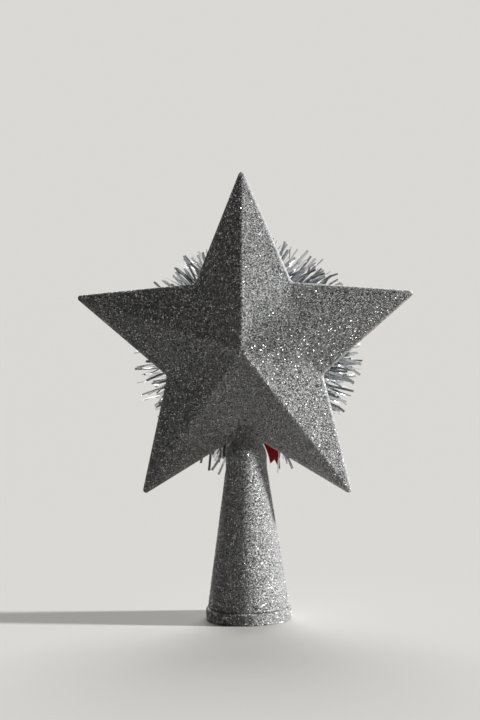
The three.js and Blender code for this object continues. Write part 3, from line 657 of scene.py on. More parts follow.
def roughen(tree, shader, height, strength, depth):
    """Raises the shader's surface by a height pattern, with a depth in millimetres."""
    lift = add_node(tree, "ShaderNodeBump", None, {
        "Height": height,
        "Strength": strength,
        "Distance": depth * MM,
    })
    tree.links.new(lift.outputs["Normal"], shader.inputs["Normal"])


# Flakes' colours by chance: many dark, as painted shade for flakes turned away, most mid silver, some bright
# as painted glints, and a few that split the light
FLAKE_STOPS = [
    (0.0, "#3f4042"),
    (0.14, "#7d7e80"),
    (0.30, "#adaeaf"),
    (0.50, "#d6d7d7"),
    (0.72, "#f0f0ef"),
    (0.90, "#fefefd"),
    (0.975, "#b4cadb"),
    (0.985, "#dccbae"),
    (0.993, "#cabad4"),
]
LACQUER_IN_GAPS = "#9d9d9e"
# The rim's colour is paler: pooled lacquer, and a painted highlight along the edge.
RIM_LACQUER_AND_HIGHLIGHT = "#d8d8d6"
RIM_PAINTED_HIGHLIGHT = 0.35
FLAKE_MIRROR = 0.95


def glitter_coat():
    """Metallised polyester glitter under clear lacquer: each flake is flat and mirrors its own way."""
    material, tree, shader = new_material("glitter_in_lacquer", "#c0c1c1", 0.45)
    rim = carried(tree, "rim")
    chance = flake_cells(tree, "F1")["Color"]
    parts = add_node(tree, "ShaderNodeSeparateColor", None, {"Color": chance})
    # The flakes' colours hold painted shade and painted glints, given by chance.
    tone = tone_of(tree, parts.outputs["Red"], FLAKE_STOPS, stepped=True)
    gap = flake_cells(tree, "DISTANCE_TO_EDGE")["Distance"]
    on_flake = map_range(tree, gap, given=(0.02, 0.10))
    colour = mix_colour(tree, on_flake, linear(LACQUER_IN_GAPS), tone)
    # Painted highlight: the rim's colour is drawn towards pale lacquer.
    colour = mix_colour(tree, product(tree, rim, RIM_PAINTED_HIGHLIGHT), colour, linear(RIM_LACQUER_AND_HIGHLIGHT))
    shine = map_range(tree, parts.outputs["Green"], wanted=(0.32, 0.6))
    mirror = map_range(tree, parts.outputs["Blue"], given=(0.945, 0.96), wanted=(0.0, FLAKE_MIRROR))
    tree.links.new(colour, shader.inputs["Base Color"])
    tree.links.new(shine, shader.inputs["Roughness"])
    tree.links.new(mirror, shader.inputs["Metallic"])
    tree.links.new(flake_normal(tree, chance, rim), shader.inputs["Normal"])
    shader.inputs["Specular IOR Level"].default_value = 0.1
    shader.inputs["Coat Weight"].default_value = 0.1
    shader.inputs["Coat Roughness"].default_value = 0.2
    return material


def flake_normal(tree, chance, rim):
    """The surface's normal, leant by each flake's own colour, and less so on the rim."""
    centred = add_node(tree, "ShaderNodeVectorMath", {"operation": "SUBTRACT"}, {
        0: chance,
        1: (0.5, 0.5, 0.5),
    })
    tilt = add_node(tree, "ShaderNodeVectorMath", {"operation": "SCALE"}, {
        0: centred.outputs["Vector"],
        "Scale": map_range(tree, rim, wanted=(FLAKE_LEAN, RIM_LEAN)),
    })
    surface = add_node(tree, "ShaderNodeNewGeometry")
    leaning = add_node(tree, "ShaderNodeVectorMath", {"operation": "ADD"}, {
        0: surface.outputs["Normal"],
        1: tilt.outputs["Vector"],
    })
    facing = add_node(tree, "ShaderNodeVectorMath", {"operation": "NORMALIZE"}, {
        0: leaning.outputs["Vector"],
    })
    return facing.outputs["Vector"]


def loose_flake():
    """The same glitter where single flakes stand up from the lacquer."""
    material, tree, shader = new_material("glitter_standing_proud", "#c6c6c7", 0.34)
    chance = carried(tree, "flake")
    mirror = map_range(tree, chance, given=(0.66, 0.68), wanted=(0.0, FLAKE_MIRROR))
    # The standing flakes take the same painted shade and glints.
    tree.links.new(tone_of(tree, chance, FLAKE_STOPS, stepped=True), shader.inputs["Base Color"])
    tree.links.new(mirror, shader.inputs["Metallic"])
    return material


def moulded_polystyrene():
    """Bare moulded polystyrene inside the socket: grey, satin, with faint flow marks."""
    material, tree, shader = new_material("moulded_polystyrene", "#b9bab8", 0.38)
    tone = tone_of(tree, noise(tree, 9.0, 3.0), [(0.3, "#adaeac"), (0.7, "#c2c3c1")])
    tree.links.new(tone, shader.inputs["Base Color"])
    return material


def laminated_card():
    """Card faced with silver film: satin, with a faint linen emboss."""
    material, tree, shader = new_material("laminated_silver_card", "#c8c9cb", 0.34, 0.85)
    roughen(tree, shader, noise(tree, 0.7, 2.0), 0.25, 0.1)
    return material


# Strands of film, by chance from dark ones with painted shade, as if they lie in each other's shade, to
# bright ones
FILM_STOPS = [
    (0.0, "#7c7f83"),
    (0.3, "#a8abae"),
    (0.6, "#ced1d3"),
    (0.85, "#e8eaeb"),
    (1.0, "#f9fafa"),
]


def tinsel_film():
    """Aluminised polyester film slit into strands: a crinkled mirror, some strands darker than others with
    painted shade.
    """
    material, tree, shader = new_material("aluminised_film", "#d9dcdf", 0.2, 0.72)
    tree.links.new(tone_of(tree, carried(tree, "strand"), FILM_STOPS), shader.inputs["Base Color"])
    roughen(tree, shader, noise(tree, 1.6, 2.0), 0.5, 0.3)
    return material


def drawn_wire():
    """Soft steel wire, drawn through a die: grey, with brighter and duller patches."""
    material, tree, shader = new_material("drawn_steel_wire", "#9a9b9d", 0.32, 1.0)
    shine = map_range(tree, noise(tree, 1.2, 4.0), wanted=(0.22, 0.46))
    tree.links.new(shine, shader.inputs["Roughness"])
    return material


# What is painted on the face, in the order of the coats, by the mask that the mesh carries
FACE_PAINTS = {
    "blush": "#dd8d7e",
    "shadow": "#b98a78",
    "lips": "#b3323c",
    "brow": "#6b4528",
    "liner": "#3a241a",
}


def doll_vinyl():
    """Rotationally moulded vinyl, matt and slightly waxy, with sprayed blush and painted lips and brows."""
    material, tree, shader = new_material("moulded_vinyl_skin", "#ecc4ab", 0.42)
    colour = tone_of(tree, noise(tree, 6.0, 3.0), [(0.3, "#e8bda3"), (0.7, "#f0cbb4")])
    for mask, paint in FACE_PAINTS.items():
        colour = mix_colour(tree, carried(tree, mask), colour, linear(paint))
    tree.links.new(colour, shader.inputs["Base Color"])
    roughen(tree, shader, noise(tree, 0.35, 2.0), 0.12, 0.05)
    shader.inputs["Subsurface Weight"].default_value = 0.12
    shader.inputs["Subsurface Radius"].default_value = (1.0, 0.4, 0.25)
    shader.inputs["Subsurface Scale"].default_value = 1.5 * MM
    return material


# The eye's colours from the middle of the pupil outwards, through the iris and its rim to the white
EYE_STOPS = [
    (0.0, "#0b0b0d"),
    (0.140, "#0b0b0d"),
    (0.150, "#86b4cf"),
    (0.24, "#4f86ab"),
    (0.315, "#24506f"),
    (0.345, "#12283a"),
    (0.362, "#12283a"),
    (0.375, "#f3f0ec"),
    (1.0, "#e9ded6"),
]


def doll_eye():
    """Cast acrylic eye under gloss: white, an iris with spokes and a dark rim, and a black pupil."""
    material, tree, shader = new_material("cast_acrylic_eye", "#f1eee9", 0.06)
    bands = tone_of(tree, carried(tree, "gaze"), EYE_STOPS)
    colour = mix_colour(tree, carried(tree, "spoke"), bands, linear("#7f97a6"), "MULTIPLY")
    tree.links.new(colour, shader.inputs["Base Color"])
    shader.inputs["Coat Weight"].default_value = 1.0
    shader.inputs["Coat Roughness"].default_value = 0.02
    return material


def mohair(name, dark, light):
    """Combed and set mohair: soft shine along the strands, each strand its own shade."""
    material, tree, shader = new_material(name, light, 0.42)
    tone = tone_of(tree, carried(tree, "strand"), [(0.0, dark), (1.0, light)])
    tree.links.new(tone, shader.inputs["Base Color"])
    shader.inputs["Sheen Weight"].default_value = 0.3
    shader.inputs["Sheen Roughness"].default_value = 0.4
    return material


def satin_ribbon():
    """Woven satin: red, with a soft shine across the floats and fine ribs along the ribbon."""
    material, tree, shader = new_material("red_satin_ribbon", "#a80d1b", 0.42)
    weave_map = add_node(tree, "ShaderNodeUVMap", {"uv_map": "weave"})
    ribs = add_node(tree, "ShaderNodeTexWave", {"wave_type": "BANDS", "bands_direction": "X"}, {
        "Vector": weave_map.outputs["UV"],
        "Scale": 1.0,
        "Distortion": 0.3,
    }).outputs["Fac"]
    tree.links.new(tone_of(tree, ribs, [(0.0, "#86040e"), (1.0, "#bb0c1b")]), shader.inputs["Base Color"])
    roughen(tree, shader, ribs, 0.25, 0.08)
    shader.inputs["Specular IOR Level"].default_value = 0.15
    shader.inputs["Sheen Weight"].default_value = 0.03
    shader.inputs["Sheen Roughness"].default_value = 0.3
    shader.inputs["Sheen Tint"].default_value = linear("#ff4a4a")
    return material


def seen_directly(tree):
    """1 for what the camera sees itself, mirrored or through glass, and 0 for light that is only bounced."""
    ray = add_node(tree, "ShaderNodeLightPath")
    seen = ray.outputs["Is Camera Ray"]
    for kind in ("Is Glossy Ray", "Is Transmission Ray"):
        either = add_node(tree, "ShaderNodeMath", {"operation": "ADD", "use_clamp": True}, {
            0: seen,
            1: ray.outputs[kind],
        })
        seen = either.outputs[0]
    return seen


def stage_paper():
    """Pale matt paper. Its colour for bounced light is brighter in one patch at the front right, a painted
    pool of light, so that most of the light it bounces comes from there.
    """
    material, tree, shader = new_material("backdrop_paper", PAPER, 1.0)
    place = add_node(tree, "ShaderNodeTexCoord")
    away = add_node(tree, "ShaderNodeVectorMath", {"operation": "DISTANCE"}, {
        0: place.outputs["Object"],
        1: PAINTED_BOUNCE_POOL * MM,
    })
    # Painted pool of light: the bounced colour grows from dim paper to full paper near the patch.
    painted_pool_range = (PAINTED_BOUNCE_POOL_EDGE * MM, PAINTED_BOUNCE_POOL_CORE * MM)
    in_painted_pool = map_range(tree, away.outputs["Value"], given=painted_pool_range)
    bounced = mix_colour(tree, in_painted_pool, linear(PAPER_BOUNCE), linear(PAPER))
    shown = mix_colour(tree, seen_directly(tree), bounced, linear(PAPER))
    tree.links.new(shown, shader.inputs["Base Color"])
    shader.inputs["Specular IOR Level"].default_value = 0.0
    return material


# Loose glitter, scattered with Geometry Nodes

# A Random Value node's sockets for numbers share their names with those for vectors and whole numbers
RANDOM_LOWEST = 2
RANDOM_HIGHEST = 3
RANDOM_NUMBER = 1
TILT_X_SEED = 11
TILT_Y_SEED = 12
SPIN_SEED = 13
SIZE_SEED = 14


def new_group(name, sizes):
    """A Geometry Nodes group from geometry to geometry with named inputs, and what it is given."""
    tree = bpy.data.node_groups.new(name, "GeometryNodeTree")
    sockets = tree.interface
    sockets.new_socket("Geometry", in_out="INPUT", socket_type="NodeSocketGeometry")
    for label, kind in sizes.items():
        sockets.new_socket(label, in_out="INPUT", socket_type=f"NodeSocket{kind}")
    sockets.new_socket("Geometry", in_out="OUTPUT", socket_type="NodeSocketGeometry")
    return tree, add_node(tree, "NodeGroupInput").outputs


def set_inputs(modifier, values):
    """Sets a Geometry Nodes modifier's inputs by their sockets' identifiers."""
    for item in modifier.node_group.interface.items_tree:
        if item.in_out == "INPUT" and item.name in values:
            modifier[item.identifier] = values[item.name]


def named_value(tree, name):
    """A number that the geometry carries under that name."""
    found = add_node(tree, "GeometryNodeInputNamedAttribute", {"data_type": "FLOAT"}, {"Name": name})
    return found.outputs[0]


def random_number(tree, lowest, highest, seed):
    """A random number for each point."""
    return add_node(tree, "FunctionNodeRandomValue", {"data_type": "FLOAT"}, {
        RANDOM_LOWEST: lowest,
        RANDOM_HIGHEST: highest,
        "Seed": seed,
    }).outputs[RANDOM_NUMBER]


def flake_shape(tree, given):
    """One flake: a flat square on a short point, with most of its depth sunk into the lacquer."""
    chip = add_node(tree, "GeometryNodeMeshCone", {"fill_type": "NGON"}, {
        "Vertices": 4,
        "Radius Top": given["Flake radius"],
        "Radius Bottom": 0.0,
        "Depth": given["Flake depth"],
    })
    down = add_node(tree, "ShaderNodeCombineXYZ", None, {
        "Z": product(tree, given["Flake depth"], -FLAKE_SUNK_PART),
    })
    sunk = add_node(tree, "GeometryNodeTransform", None, {
        "Geometry": chip.outputs["Mesh"],
        "Translation": down.outputs[0],
    })
    return sunk.outputs["Geometry"]


def flake_turn(tree, given, upright):
    """Each flake's own tilt and spin, on top of the turn that stands it on the surface."""
    least_tilt = product(tree, given["Tilt"], -1.0)
    angles = add_node(tree, "ShaderNodeCombineXYZ", None, {
        "X": random_number(tree, least_tilt, given["Tilt"], TILT_X_SEED),
        "Y": random_number(tree, least_tilt, given["Tilt"], TILT_Y_SEED),
        "Z": random_number(tree, 0.0, 2 * math.pi, SPIN_SEED),
    })
    turned = add_node(tree, "FunctionNodeEulerToRotation", None, {0: angles.outputs[0]})
    rotation = add_node(tree, "FunctionNodeRotateRotation", {"rotation_space": "LOCAL"}, {
        "Rotation": upright,
        "Rotate By": turned.outputs[0],
    })
    return rotation.outputs[0]


def flake_tree(flake):
    """Stands small flat flakes on the faces whose coated value is 1, each at its own tilt."""
    tree, given = new_group("loose_flakes", {
        "Flakes per m2": "Float",
        "Flake radius": "Float",
        "Flake depth": "Float",
        "Tilt": "Float",
        "Seed": "Int",
    })
    spots = add_node(tree, "GeometryNodeDistributePointsOnFaces", {"distribute_method": "RANDOM"}, {
        "Mesh": given["Geometry"],
        "Density": product(tree, named_value(tree, "coated"), given["Flakes per m2"]),
        "Seed": given["Seed"],
    })
    marked = add_node(tree, "GeometryNodeStoreNamedAttribute", {"data_type": "FLOAT", "domain": "POINT"}, {
        "Geometry": spots.outputs["Points"],
        "Name": "flake",
        "Value": random_number(tree, 0.0, 1.0, given["Seed"]),
    })
    placed = add_node(tree, "GeometryNodeInstanceOnPoints", None, {
        "Points": marked.outputs["Geometry"],
        "Instance": flake_shape(tree, given),
        "Rotation": flake_turn(tree, given, spots.outputs["Rotation"]),
        "Scale": random_number(tree, LEAST_FLAKE, LARGEST_FLAKE, SIZE_SEED),
    })
    real = add_node(tree, "GeometryNodeRealizeInstances", None, {"Geometry": placed.outputs["Instances"]})
    flat = add_node(tree, "GeometryNodeSetShadeSmooth", None, {
        "Geometry": real.outputs[0],
        "Shade Smooth": False,
    })
    finished = add_node(tree, "GeometryNodeSetMaterial", None, {
        "Geometry": flat.outputs[0],
        "Material": flake,
    })
    both = add_node(tree, "GeometryNodeJoinGeometry")
    tree.links.new(given["Geometry"], both.inputs[0])
    tree.links.new(finished.outputs[0], both.inputs[0])
    add_node(tree, "NodeGroupOutput", None, {"Geometry": both.outputs[0]})
    return tree


def mark_coated(piece, is_coated):
    """Marks the faces on which loose flakes stand."""
    coated = piece.data.attributes.new("coated", "FLOAT", "FACE")
    for polygon in piece.data.polygons:
        coated.data[polygon.index].value = 1.0 if is_coated(polygon.center / MM, polygon.normal) else 0.0


def scatter_flakes(piece, tree, seed):
    """Stands loose flakes on the faces that are marked for them."""
    modifier = piece.modifiers.new("loose flakes", "NODES")
    modifier.node_group = tree
    set_inputs(modifier, {
        "Flakes per m2": LOOSE_FLAKES_PER_MM2 / MM ** 2,
        "Flake radius": LOOSE_FLAKE_RADIUS * MM,
        "Flake depth": LOOSE_FLAKE_DEPTH * MM,
        "Tilt": math.radians(LOOSE_FLAKE_TILT),
        "Seed": seed,
    })
    return settled(piece)


# Strands, swept with Geometry Nodes

def film_section(tree, given):
    """The flat section of a strand of film."""
    return add_node(tree, "GeometryNodeCurvePrimitiveQuadrilateral", None, {
        "Width": given["Width"],
        "Height": given["Thickness"],
    })


def round_section(tree, given):
    """The round section of a hair or a wire."""
    return add_node(tree, "GeometryNodeCurvePrimitiveCircle", None, {
        "Resolution": given["Sides"],
        "Radius": given["Radius"],
    })


def strand_tree(name, sizes, section, smooth):
    """Sweeps edge chains into strands of that section, turned and tapered as the mesh says."""
    tree, given = new_group(name, {**sizes, "Finish": "Material"})
    lines = add_node(tree, "GeometryNodeMeshToCurve", None, {"Mesh": given["Geometry"]})
    turned = add_node(tree, "GeometryNodeSetCurveTilt", None, {
        "Curve": lines.outputs[0],
        "Tilt": named_value(tree, "twist"),
    })
    sized = add_node(tree, "GeometryNodeSetCurveRadius", None, {
        "Curve": turned.outputs[0],
        "Radius": named_value(tree, "taper"),
    })
    swept = add_node(tree, "GeometryNodeCurveToMesh", None, {
        "Curve": sized.outputs[0],
        "Profile Curve": section(tree, given).outputs[0],
        "Fill Caps": True,
    })
    shaded = add_node(tree, "GeometryNodeSetShadeSmooth", None, {
        "Geometry": swept.outputs[0],
        "Shade Smooth": smooth,
    })
    real = add_node(tree, "GeometryNodeRealizeInstances", None, {"Geometry": shaded.outputs[0]})
    finished = add_node(tree, "GeometryNodeSetMaterial", None, {
        "Geometry": real.outputs[0],
        "Material": given["Finish"],
    })
    add_node(tree, "NodeGroupOutput", None, {"Geometry": finished.outputs[0]})
    return tree


def swept_strands(name, strands, tree, sizes, material):
    """A mesh of strands. Each is a dict of points in millimetres, twists, tapers and a shade from 0 to 1."""
    points = []
    edges = []
    twists = []
    tapers = []
    shades = []
    for strand in strands:
        start = len(points)
        count = len(strand["points"])
        points.extend(strand["points"])
        edges.extend((start + i, start + i + 1) for i in range(count - 1))
        if strand.get("closed"):
            edges.append((start + count - 1, start))
        twists.extend(strand.get("twists", [0.0] * count))
        tapers.extend(strand.get("tapers", [1.0] * count))
        shades.extend([strand["shade"]] * count)
    mesh = bpy.data.meshes.new(name)
    mesh.from_pydata([Vector(point) * MM for point in points], edges, [])
    mesh.materials.append(material)
    for label, values in (("twist", twists), ("taper", tapers), ("strand", shades)):
        mesh.attributes.new(label, "FLOAT", "POINT").data.foreach_set("value", values)
    piece = bpy.data.objects.new(name, mesh)
    bpy.context.collection.objects.link(piece)
    modifier = piece.modifiers.new("strands", "NODES")
    modifier.node_group = tree
    set_inputs(modifier, {**sizes, "Finish": material})
    return settled(piece)


# Star

half_step = math.pi / ARMS
tip_half_angle = math.atan2(STAR_NOTCH * math.sin(half_step), STAR_TIP - STAR_NOTCH * math.cos(half_step))
edge_distance = STAR_TIP * math.sin(tip_half_angle)
peak_rise = STAR_DEPTH - EDGE_STRAIGHT
peak_run = edge_distance - EDGE_CURVE
facet_angle = math.atan2(peak_rise, peak_run) - math.asin(EDGE_CURVE / math.hypot(peak_rise, peak_run))
facet_inset = EDGE_CURVE * (1 - math.sin(facet_angle))
facet_height = EDGE_STRAIGHT + EDGE_CURVE * math.cos(facet_angle)

TIP_STEPS = 8
NOTCH_STEPS = 10
SIDE_STEPS = 12
EDGE_STEPS = 8
FACET_STEPS = 26
FACET_STEP_GROWTH = 1.2
CORNER_SHARE = 0.48


def rounded_corner(before, corner, after, radius, steps):
    """A corner of an outline as an arc, which takes up less than half of each side that meets there."""
    back = before - corner
    ahead = after - corner
    reach = CORNER_SHARE * min(back.length, ahead.length)
    back.normalize()
    ahead.normalize()
    half = back.angle(ahead) / 2
    tangent = min(radius / math.tan(half), reach)
    centre = corner + (back + ahead).normalized() * (tangent / math.cos(half))
    start = corner + back * tangent - centre
    end = corner + ahead * tangent - centre
    sweep = (math.pi - 2 * half) * (1 if start.cross(end) > 0 else -1)
    return [centre + Matrix.Rotation(sweep * i / steps, 2) @ start for i in range(steps + 1)]


def star_ring(inset, height, tip_curve, notch_curve, side):
    """One outline of the star, drawn in by inset, at a height over the parting plane."""
    scale = 1 - inset / edge_distance
    corners = []
    for i in range(2 * ARMS):
        turn = math.pi / 2 + i * half_step
        radius = scale * (STAR_TIP if i % 2 == 0 else STAR_NOTCH)
        corners.append(Vector((radius * math.cos(turn), radius * math.sin(turn))))
    arcs = []
    for i, corner in enumerate(corners):
        at_tip = i % 2 == 0
        curve = tip_curve if at_tip else notch_curve
        steps = TIP_STEPS if at_tip else NOTCH_STEPS
        arcs.append(rounded_corner(corners[i - 1], corner, corners[(i + 1) % len(corners)], curve, steps))
    outline = []
    for bend, following in zip(arcs, arcs[1:] + arcs[:1]):
        outline.extend(bend)
        outline.extend(bend[-1].lerp(following[0], i / SIDE_STEPS) for i in range(1, SIDE_STEPS))
    return [Vector((point.x, side * height, STAR_Z + point.y)) for point in outline]


def facet_ring(part, side):
    """The star's outline part of the way up its facets, where ridges are sharper and valleys open out."""
    inset = facet_inset + part * (edge_distance - facet_inset)
    height = facet_height + (inset - facet_inset) * math.tan(facet_angle)
    ridge = TIP_CURVE + (RIDGE_CURVE - TIP_CURVE) * min(1, part / RIDGE_SHARP_PART)
    return star_ring(inset, height, ridge, NOTCH_CURVE + part * VALLEY_SPREAD, side)


def mark_rim(piece):
    """Marks the star's rounded edge, where the lacquer pools and lies smooth, and where the colour is paler
    with pooled lacquer and a painted highlight.
    """
    over = [abs(vertex.co.y / MM) - facet_height for vertex in piece.data.vertices]
    values = [step_between(PALE_RIM_ENDS, PALE_RIM_BELOW, height) for height in over]
    piece.data.attributes.new("rim", "FLOAT", "POINT").data.foreach_set("value", values)


def star_half(name, side, last_part):
    """Half of the star from the glued seam outwards. It ends in the peak, or in a flat seat at last_part."""
    rings = [[Vector((0, 0, STAR_Z))]]
    rings.append(star_ring(SEAM_BEVEL, 0.0, TIP_CURVE, NOTCH_CURVE, side))
    rings.append(star_ring(0.0, SEAM_BEVEL, TIP_CURVE, NOTCH_CURVE, side))
    for i in range(EDGE_STEPS):
        turn = (i / EDGE_STEPS) * (math.pi / 2 - facet_angle)
        inset = EDGE_CURVE * (1 - math.cos(turn))
        height = EDGE_STRAIGHT + EDGE_CURVE * math.sin(turn)
        rings.append(star_ring(inset, height, TIP_CURVE, NOTCH_CURVE, side))
    for i in range(FACET_STEPS + 1):
        rings.append(facet_ring(last_part * (i / FACET_STEPS) ** FACET_STEP_GROWTH, side))
    height = rings[-1][0].y
    if last_part >= PEAK_PART:
        height = side * (facet_height + PEAK_BLUNTING * (STAR_DEPTH - facet_height))
    rings.append([Vector((0, height, STAR_Z))])
    points, faces = surface_of_rings(rings)
    half = new_piece(name, points, faces, glitter)
    mark_rim(half)
    return half


def on_facet(centre):
    """Whether a place on the star is on a facet, or on the last of the rounded edge below one."""
    return abs(centre.y) > facet_height - FLAKES_BELOW_FACET


def under_disc(centre):
    """Whether a place on the star is on the seat that the disc covers."""
    reach = math.hypot(centre.x, centre.z - STAR_Z)
    return centre.y > SEAT_Y - SEAT_MARGIN and reach < DISC_RADIUS


def make_star(tree):
    """The star's halves: the plain one with its peak, and the one with the seat for the disc."""
    seat_part = (SEAT_Y - facet_height) / math.tan(facet_angle) / (edge_distance - facet_inset)
    rear = star_half("star_rear_half", -1, PEAK_PART)
    mark_coated(rear, lambda centre, normal: on_facet(centre))
    stand_for(scatter_flakes(rear, tree, seed=3), ["rear_star_shell"])
    front = star_half("star_front_half", 1, seat_part)
    mark_coated(front, lambda centre, normal: on_facet(centre) and not under_disc(centre))
    stand_for(scatter_flakes(front, tree, seed=4), ["front_star_shell"])


def notch_height(x):
    """The star's edge over the socket, beside its lower notch."""
    fall = math.tan(NOTCH_SLOPE) * (math.hypot(x, NOTCH_ROUNDING) - NOTCH_ROUNDING / 2)
    return STAR_Z - STAR_NOTCH - NOTCH_GAP - fall


def make_joint_fillet(tree):
    """The fillet of lacquer and glitter that blends the socket's nose into the star's lower notch."""
    low_z = NECK_END_Z + NOSE_HEIGHT * math.sqrt(1 - (FILLET_RADIUS / NECK_RADIUS) ** 2)
    rings = []
    for i in range(FILLET_STEPS + 1):
        turn = math.radians(FILLET_SWEEP) * (2 * i / FILLET_STEPS - 1)
        low = Vector((FILLET_RADIUS * math.sin(turn), -FILLET_RADIUS * math.cos(turn), low_z - FILLET_SINK))
        x = low.x * FILLET_FLARE
        rise = FILLET_LEAST_RISE + FILLET_RISE * max(0.0, math.cos(turn)) ** FILLET_FALL
        inset = rise * math.cos(NOTCH_SLOPE)
        height = facet_height + max(0.0, inset - facet_inset) * math.tan(facet_angle)
        high = Vector((x, FILLET_BITE - height, notch_height(x) + rise))
        corner_y = (low.y + high.y) * FILLET_FULLNESS
        corner = Vector((x, corner_y, low.z + (high.z - low.z) * FILLET_FULLNESS))
        ring = [low.lerp(corner, t).lerp(corner.lerp(high, t), t) for t in FILLET_SECTION]
        ring.append(Vector((x, FILLET_BACK_Y, high.z)))
        ring.append(Vector((low.x * FILLET_BACK_TAPER, FILLET_BACK_Y, low.z)))
        rings.append(ring)
    first = sum(rings[0], Vector()) / len(rings[0])
    last = sum(rings[-1], Vector()) / len(rings[-1])
    points, faces = surface_of_rings([[first]] + rings + [[last]])
    fillet = new_piece("glitter_fillet_in_notch", points, faces, glitter)
    mark_coated(fillet, lambda centre, normal: centre.y < 2 * FILLET_BACK_Y)
    stand_for(scatter_flakes(fillet, tree, seed=8), [])


# Socket and foot

NOSE_STEPS = 14
NECK_STEPS = 8
CONE_STEPS = 16
BORE_STEPS = 8
UPWARD_SHARE = 0.2


def socket_outside():
    """(radius, height) pairs from the top of the nose down to the foot of the spigot."""
    pairs = [(0, NECK_END_Z + NOSE_HEIGHT)]
    for i in range(1, NOSE_STEPS + 1):
        turn = math.pi / 2 * (1 - i / NOSE_STEPS)
        pairs.append((NECK_RADIUS * math.cos(turn), NECK_END_Z + NOSE_HEIGHT * math.sin(turn)))
    pairs.append((NECK_RADIUS, NECK_START_Z + NECK_BLEND))
    for i in range(NECK_STEPS + 1):
        part = i / NECK_STEPS
        ease = part * part * (3 - 2 * part)
        height = NECK_START_Z - (NECK_START_Z - CONE_TOP_Z) * part
        pairs.append((NECK_RADIUS + (CONE_TOP_RADIUS - NECK_RADIUS) * ease, height))
    foot_z = SHOULDER_Z + SHOULDER_BEVEL
    for i in range(1, CONE_STEPS):
        part = i / CONE_STEPS
        height = CONE_TOP_Z + (foot_z - CONE_TOP_Z) * part
        pairs.append((CONE_TOP_RADIUS + (CONE_FOOT_RADIUS - CONE_TOP_RADIUS) * part, height))
    pairs += [(CONE_FOOT_RADIUS - SHOULDER_TURN_IN, foot_z), (CONE_FOOT_RADIUS - SHOULDER_BEVEL, SHOULDER_Z)]
    pairs += [(SPIGOT_RADIUS, SHOULDER_Z), (SPIGOT_RADIUS, SPIGOT_BEVEL), (SPIGOT_RADIUS - SPIGOT_BEVEL, 0)]
    return pairs


def socket_inside():
    """(radius, height) pairs from the mouth of the bore up to the inside of the nose."""
    foot_bore = SPIGOT_RADIUS - SOCKET_WALL
    neck_bore = NECK_RADIUS - SOCKET_WALL
    nose_bore = NOSE_HEIGHT - NOSE_WALL
    pairs = [(foot_bore + SPIGOT_BEVEL, 0), (foot_bore, SPIGOT_BEVEL), (foot_bore, SHOULDER_Z)]
    pairs += [(CONE_TOP_RADIUS - SOCKET_WALL, CONE_TOP_Z), (neck_bore, NECK_START_Z)]
    for i in range(BORE_STEPS):
        turn = math.pi / 2 * i / BORE_STEPS
        pairs.append((neck_bore * math.cos(turn), NECK_END_Z + nose_bore * math.sin(turn)))
    pairs.append((0, NECK_END_Z + nose_bore))
    return pairs


def on_socket_outside(centre, normal):
    """Whether a face is on the socket's outside, above the band. Facing up counts a little, for the nose."""
    reach = math.hypot(centre.x, centre.y)
    outwards = normal.x * centre.x + normal.y * centre.y + normal.z * reach * UPWARD_SHARE
    return centre.z > SHOULDER_Z and outwards > 0


def make_socket(tree):
    """The tapered socket, with glitter outside and bare plastic in its bore and on its spigot."""
    points, faces = surface_of_rings(lathe_rings(socket_outside() + socket_inside(), SOCKET_SIDES))
    socket = new_piece("tree_socket_cone", points, faces, glitter)
    socket.data.materials.append(bare_plastic)
    mark_coated(socket, on_socket_outside)
    for polygon in socket.data.polygons:
        if not on_socket_outside(polygon.center / MM, polygon.normal):
            polygon.material_index = 1
    stand_for(scatter_flakes(socket, tree, seed=5), ["cone_socket"])


def make_foot_band(tree):
    """The band on the spigot. Loose flakes stand on its outside and its top."""
    inner = SPIGOT_RADIUS + FOOT_CLEARANCE
    profile = [(inner, FOOT_BEVEL), (inner + FOOT_BEVEL, 0)]
    profile += arc((FOOT_RADIUS - FOOT_LOWER_EDGE, FOOT_LOWER_EDGE), FOOT_LOWER_EDGE, -90, 0, 4)
    profile += [(FOOT_RADIUS, FOOT_HEIGHT / 2)]
    profile += arc((FOOT_RADIUS - FOOT_EDGE, FOOT_HEIGHT - FOOT_EDGE), FOOT_EDGE, 0, 90, 7)
    profile += [(inner + FOOT_BEVEL, FOOT_HEIGHT), (inner, FOOT_HEIGHT - FOOT_BEVEL)]
    rings = lathe_rings(profile, SOCKET_SIDES)
    points, faces = surface_of_rings(rings + [rings[0]])
    count = len(points) - len(rings[0])
    faces = [[i % count for i in corners] for corners in faces]
    band = new_piece("foot_band_ring", points[:count], faces, glitter)

    def flakes_stand(centre, normal):
        """Whether a place is on the band's outside or top."""
        return min(math.hypot(centre.x, centre.y) - inner, centre.z) > FOOT_FLAKELESS
    mark_coated(band, flakes_stand)
    stand_for(scatter_flakes(band, tree, seed=6), ["foot_band"])


# Disc, wreath and ties

def core_point(turn, around, distance):
    """A point at a distance from the wire core's centre line."""
    reach = WREATH_RADIUS + distance * math.cos(around)
    height = CORE_Y + distance * math.sin(around)
    return Vector((reach * math.cos(turn), height, STAR_Z + reach * math.sin(turn)))


def make_disc():
    """The card disc on the star's seat, with its cut edge rounded."""
    middle = DISC_RADIUS - DISC_EDGE
    thickness = FACE_PLANE_Y - SEAT_Y
    profile = [(0, 0), (middle, 0)]
    profile += arc((middle, DISC_EDGE), DISC_EDGE, -60, 0, 3)
    profile += arc((middle, thickness - DISC_EDGE), DISC_EDGE, 0, 90, 4)
    profile += [(DISC_RADIUS - DISC_BORDER, thickness), (0, thickness)]
    rings = lathe_rings(profile, DISC_SIDES)
    upright = [[Vector((p.x, SEAT_Y + p.z, STAR_Z - p.y)) for p in ring] for ring in rings]
    points, faces = surface_of_rings(upright)
    disc = new_piece("silver_card_disc", points, faces, card)
    stand_for(disc, ["backing_disc"])


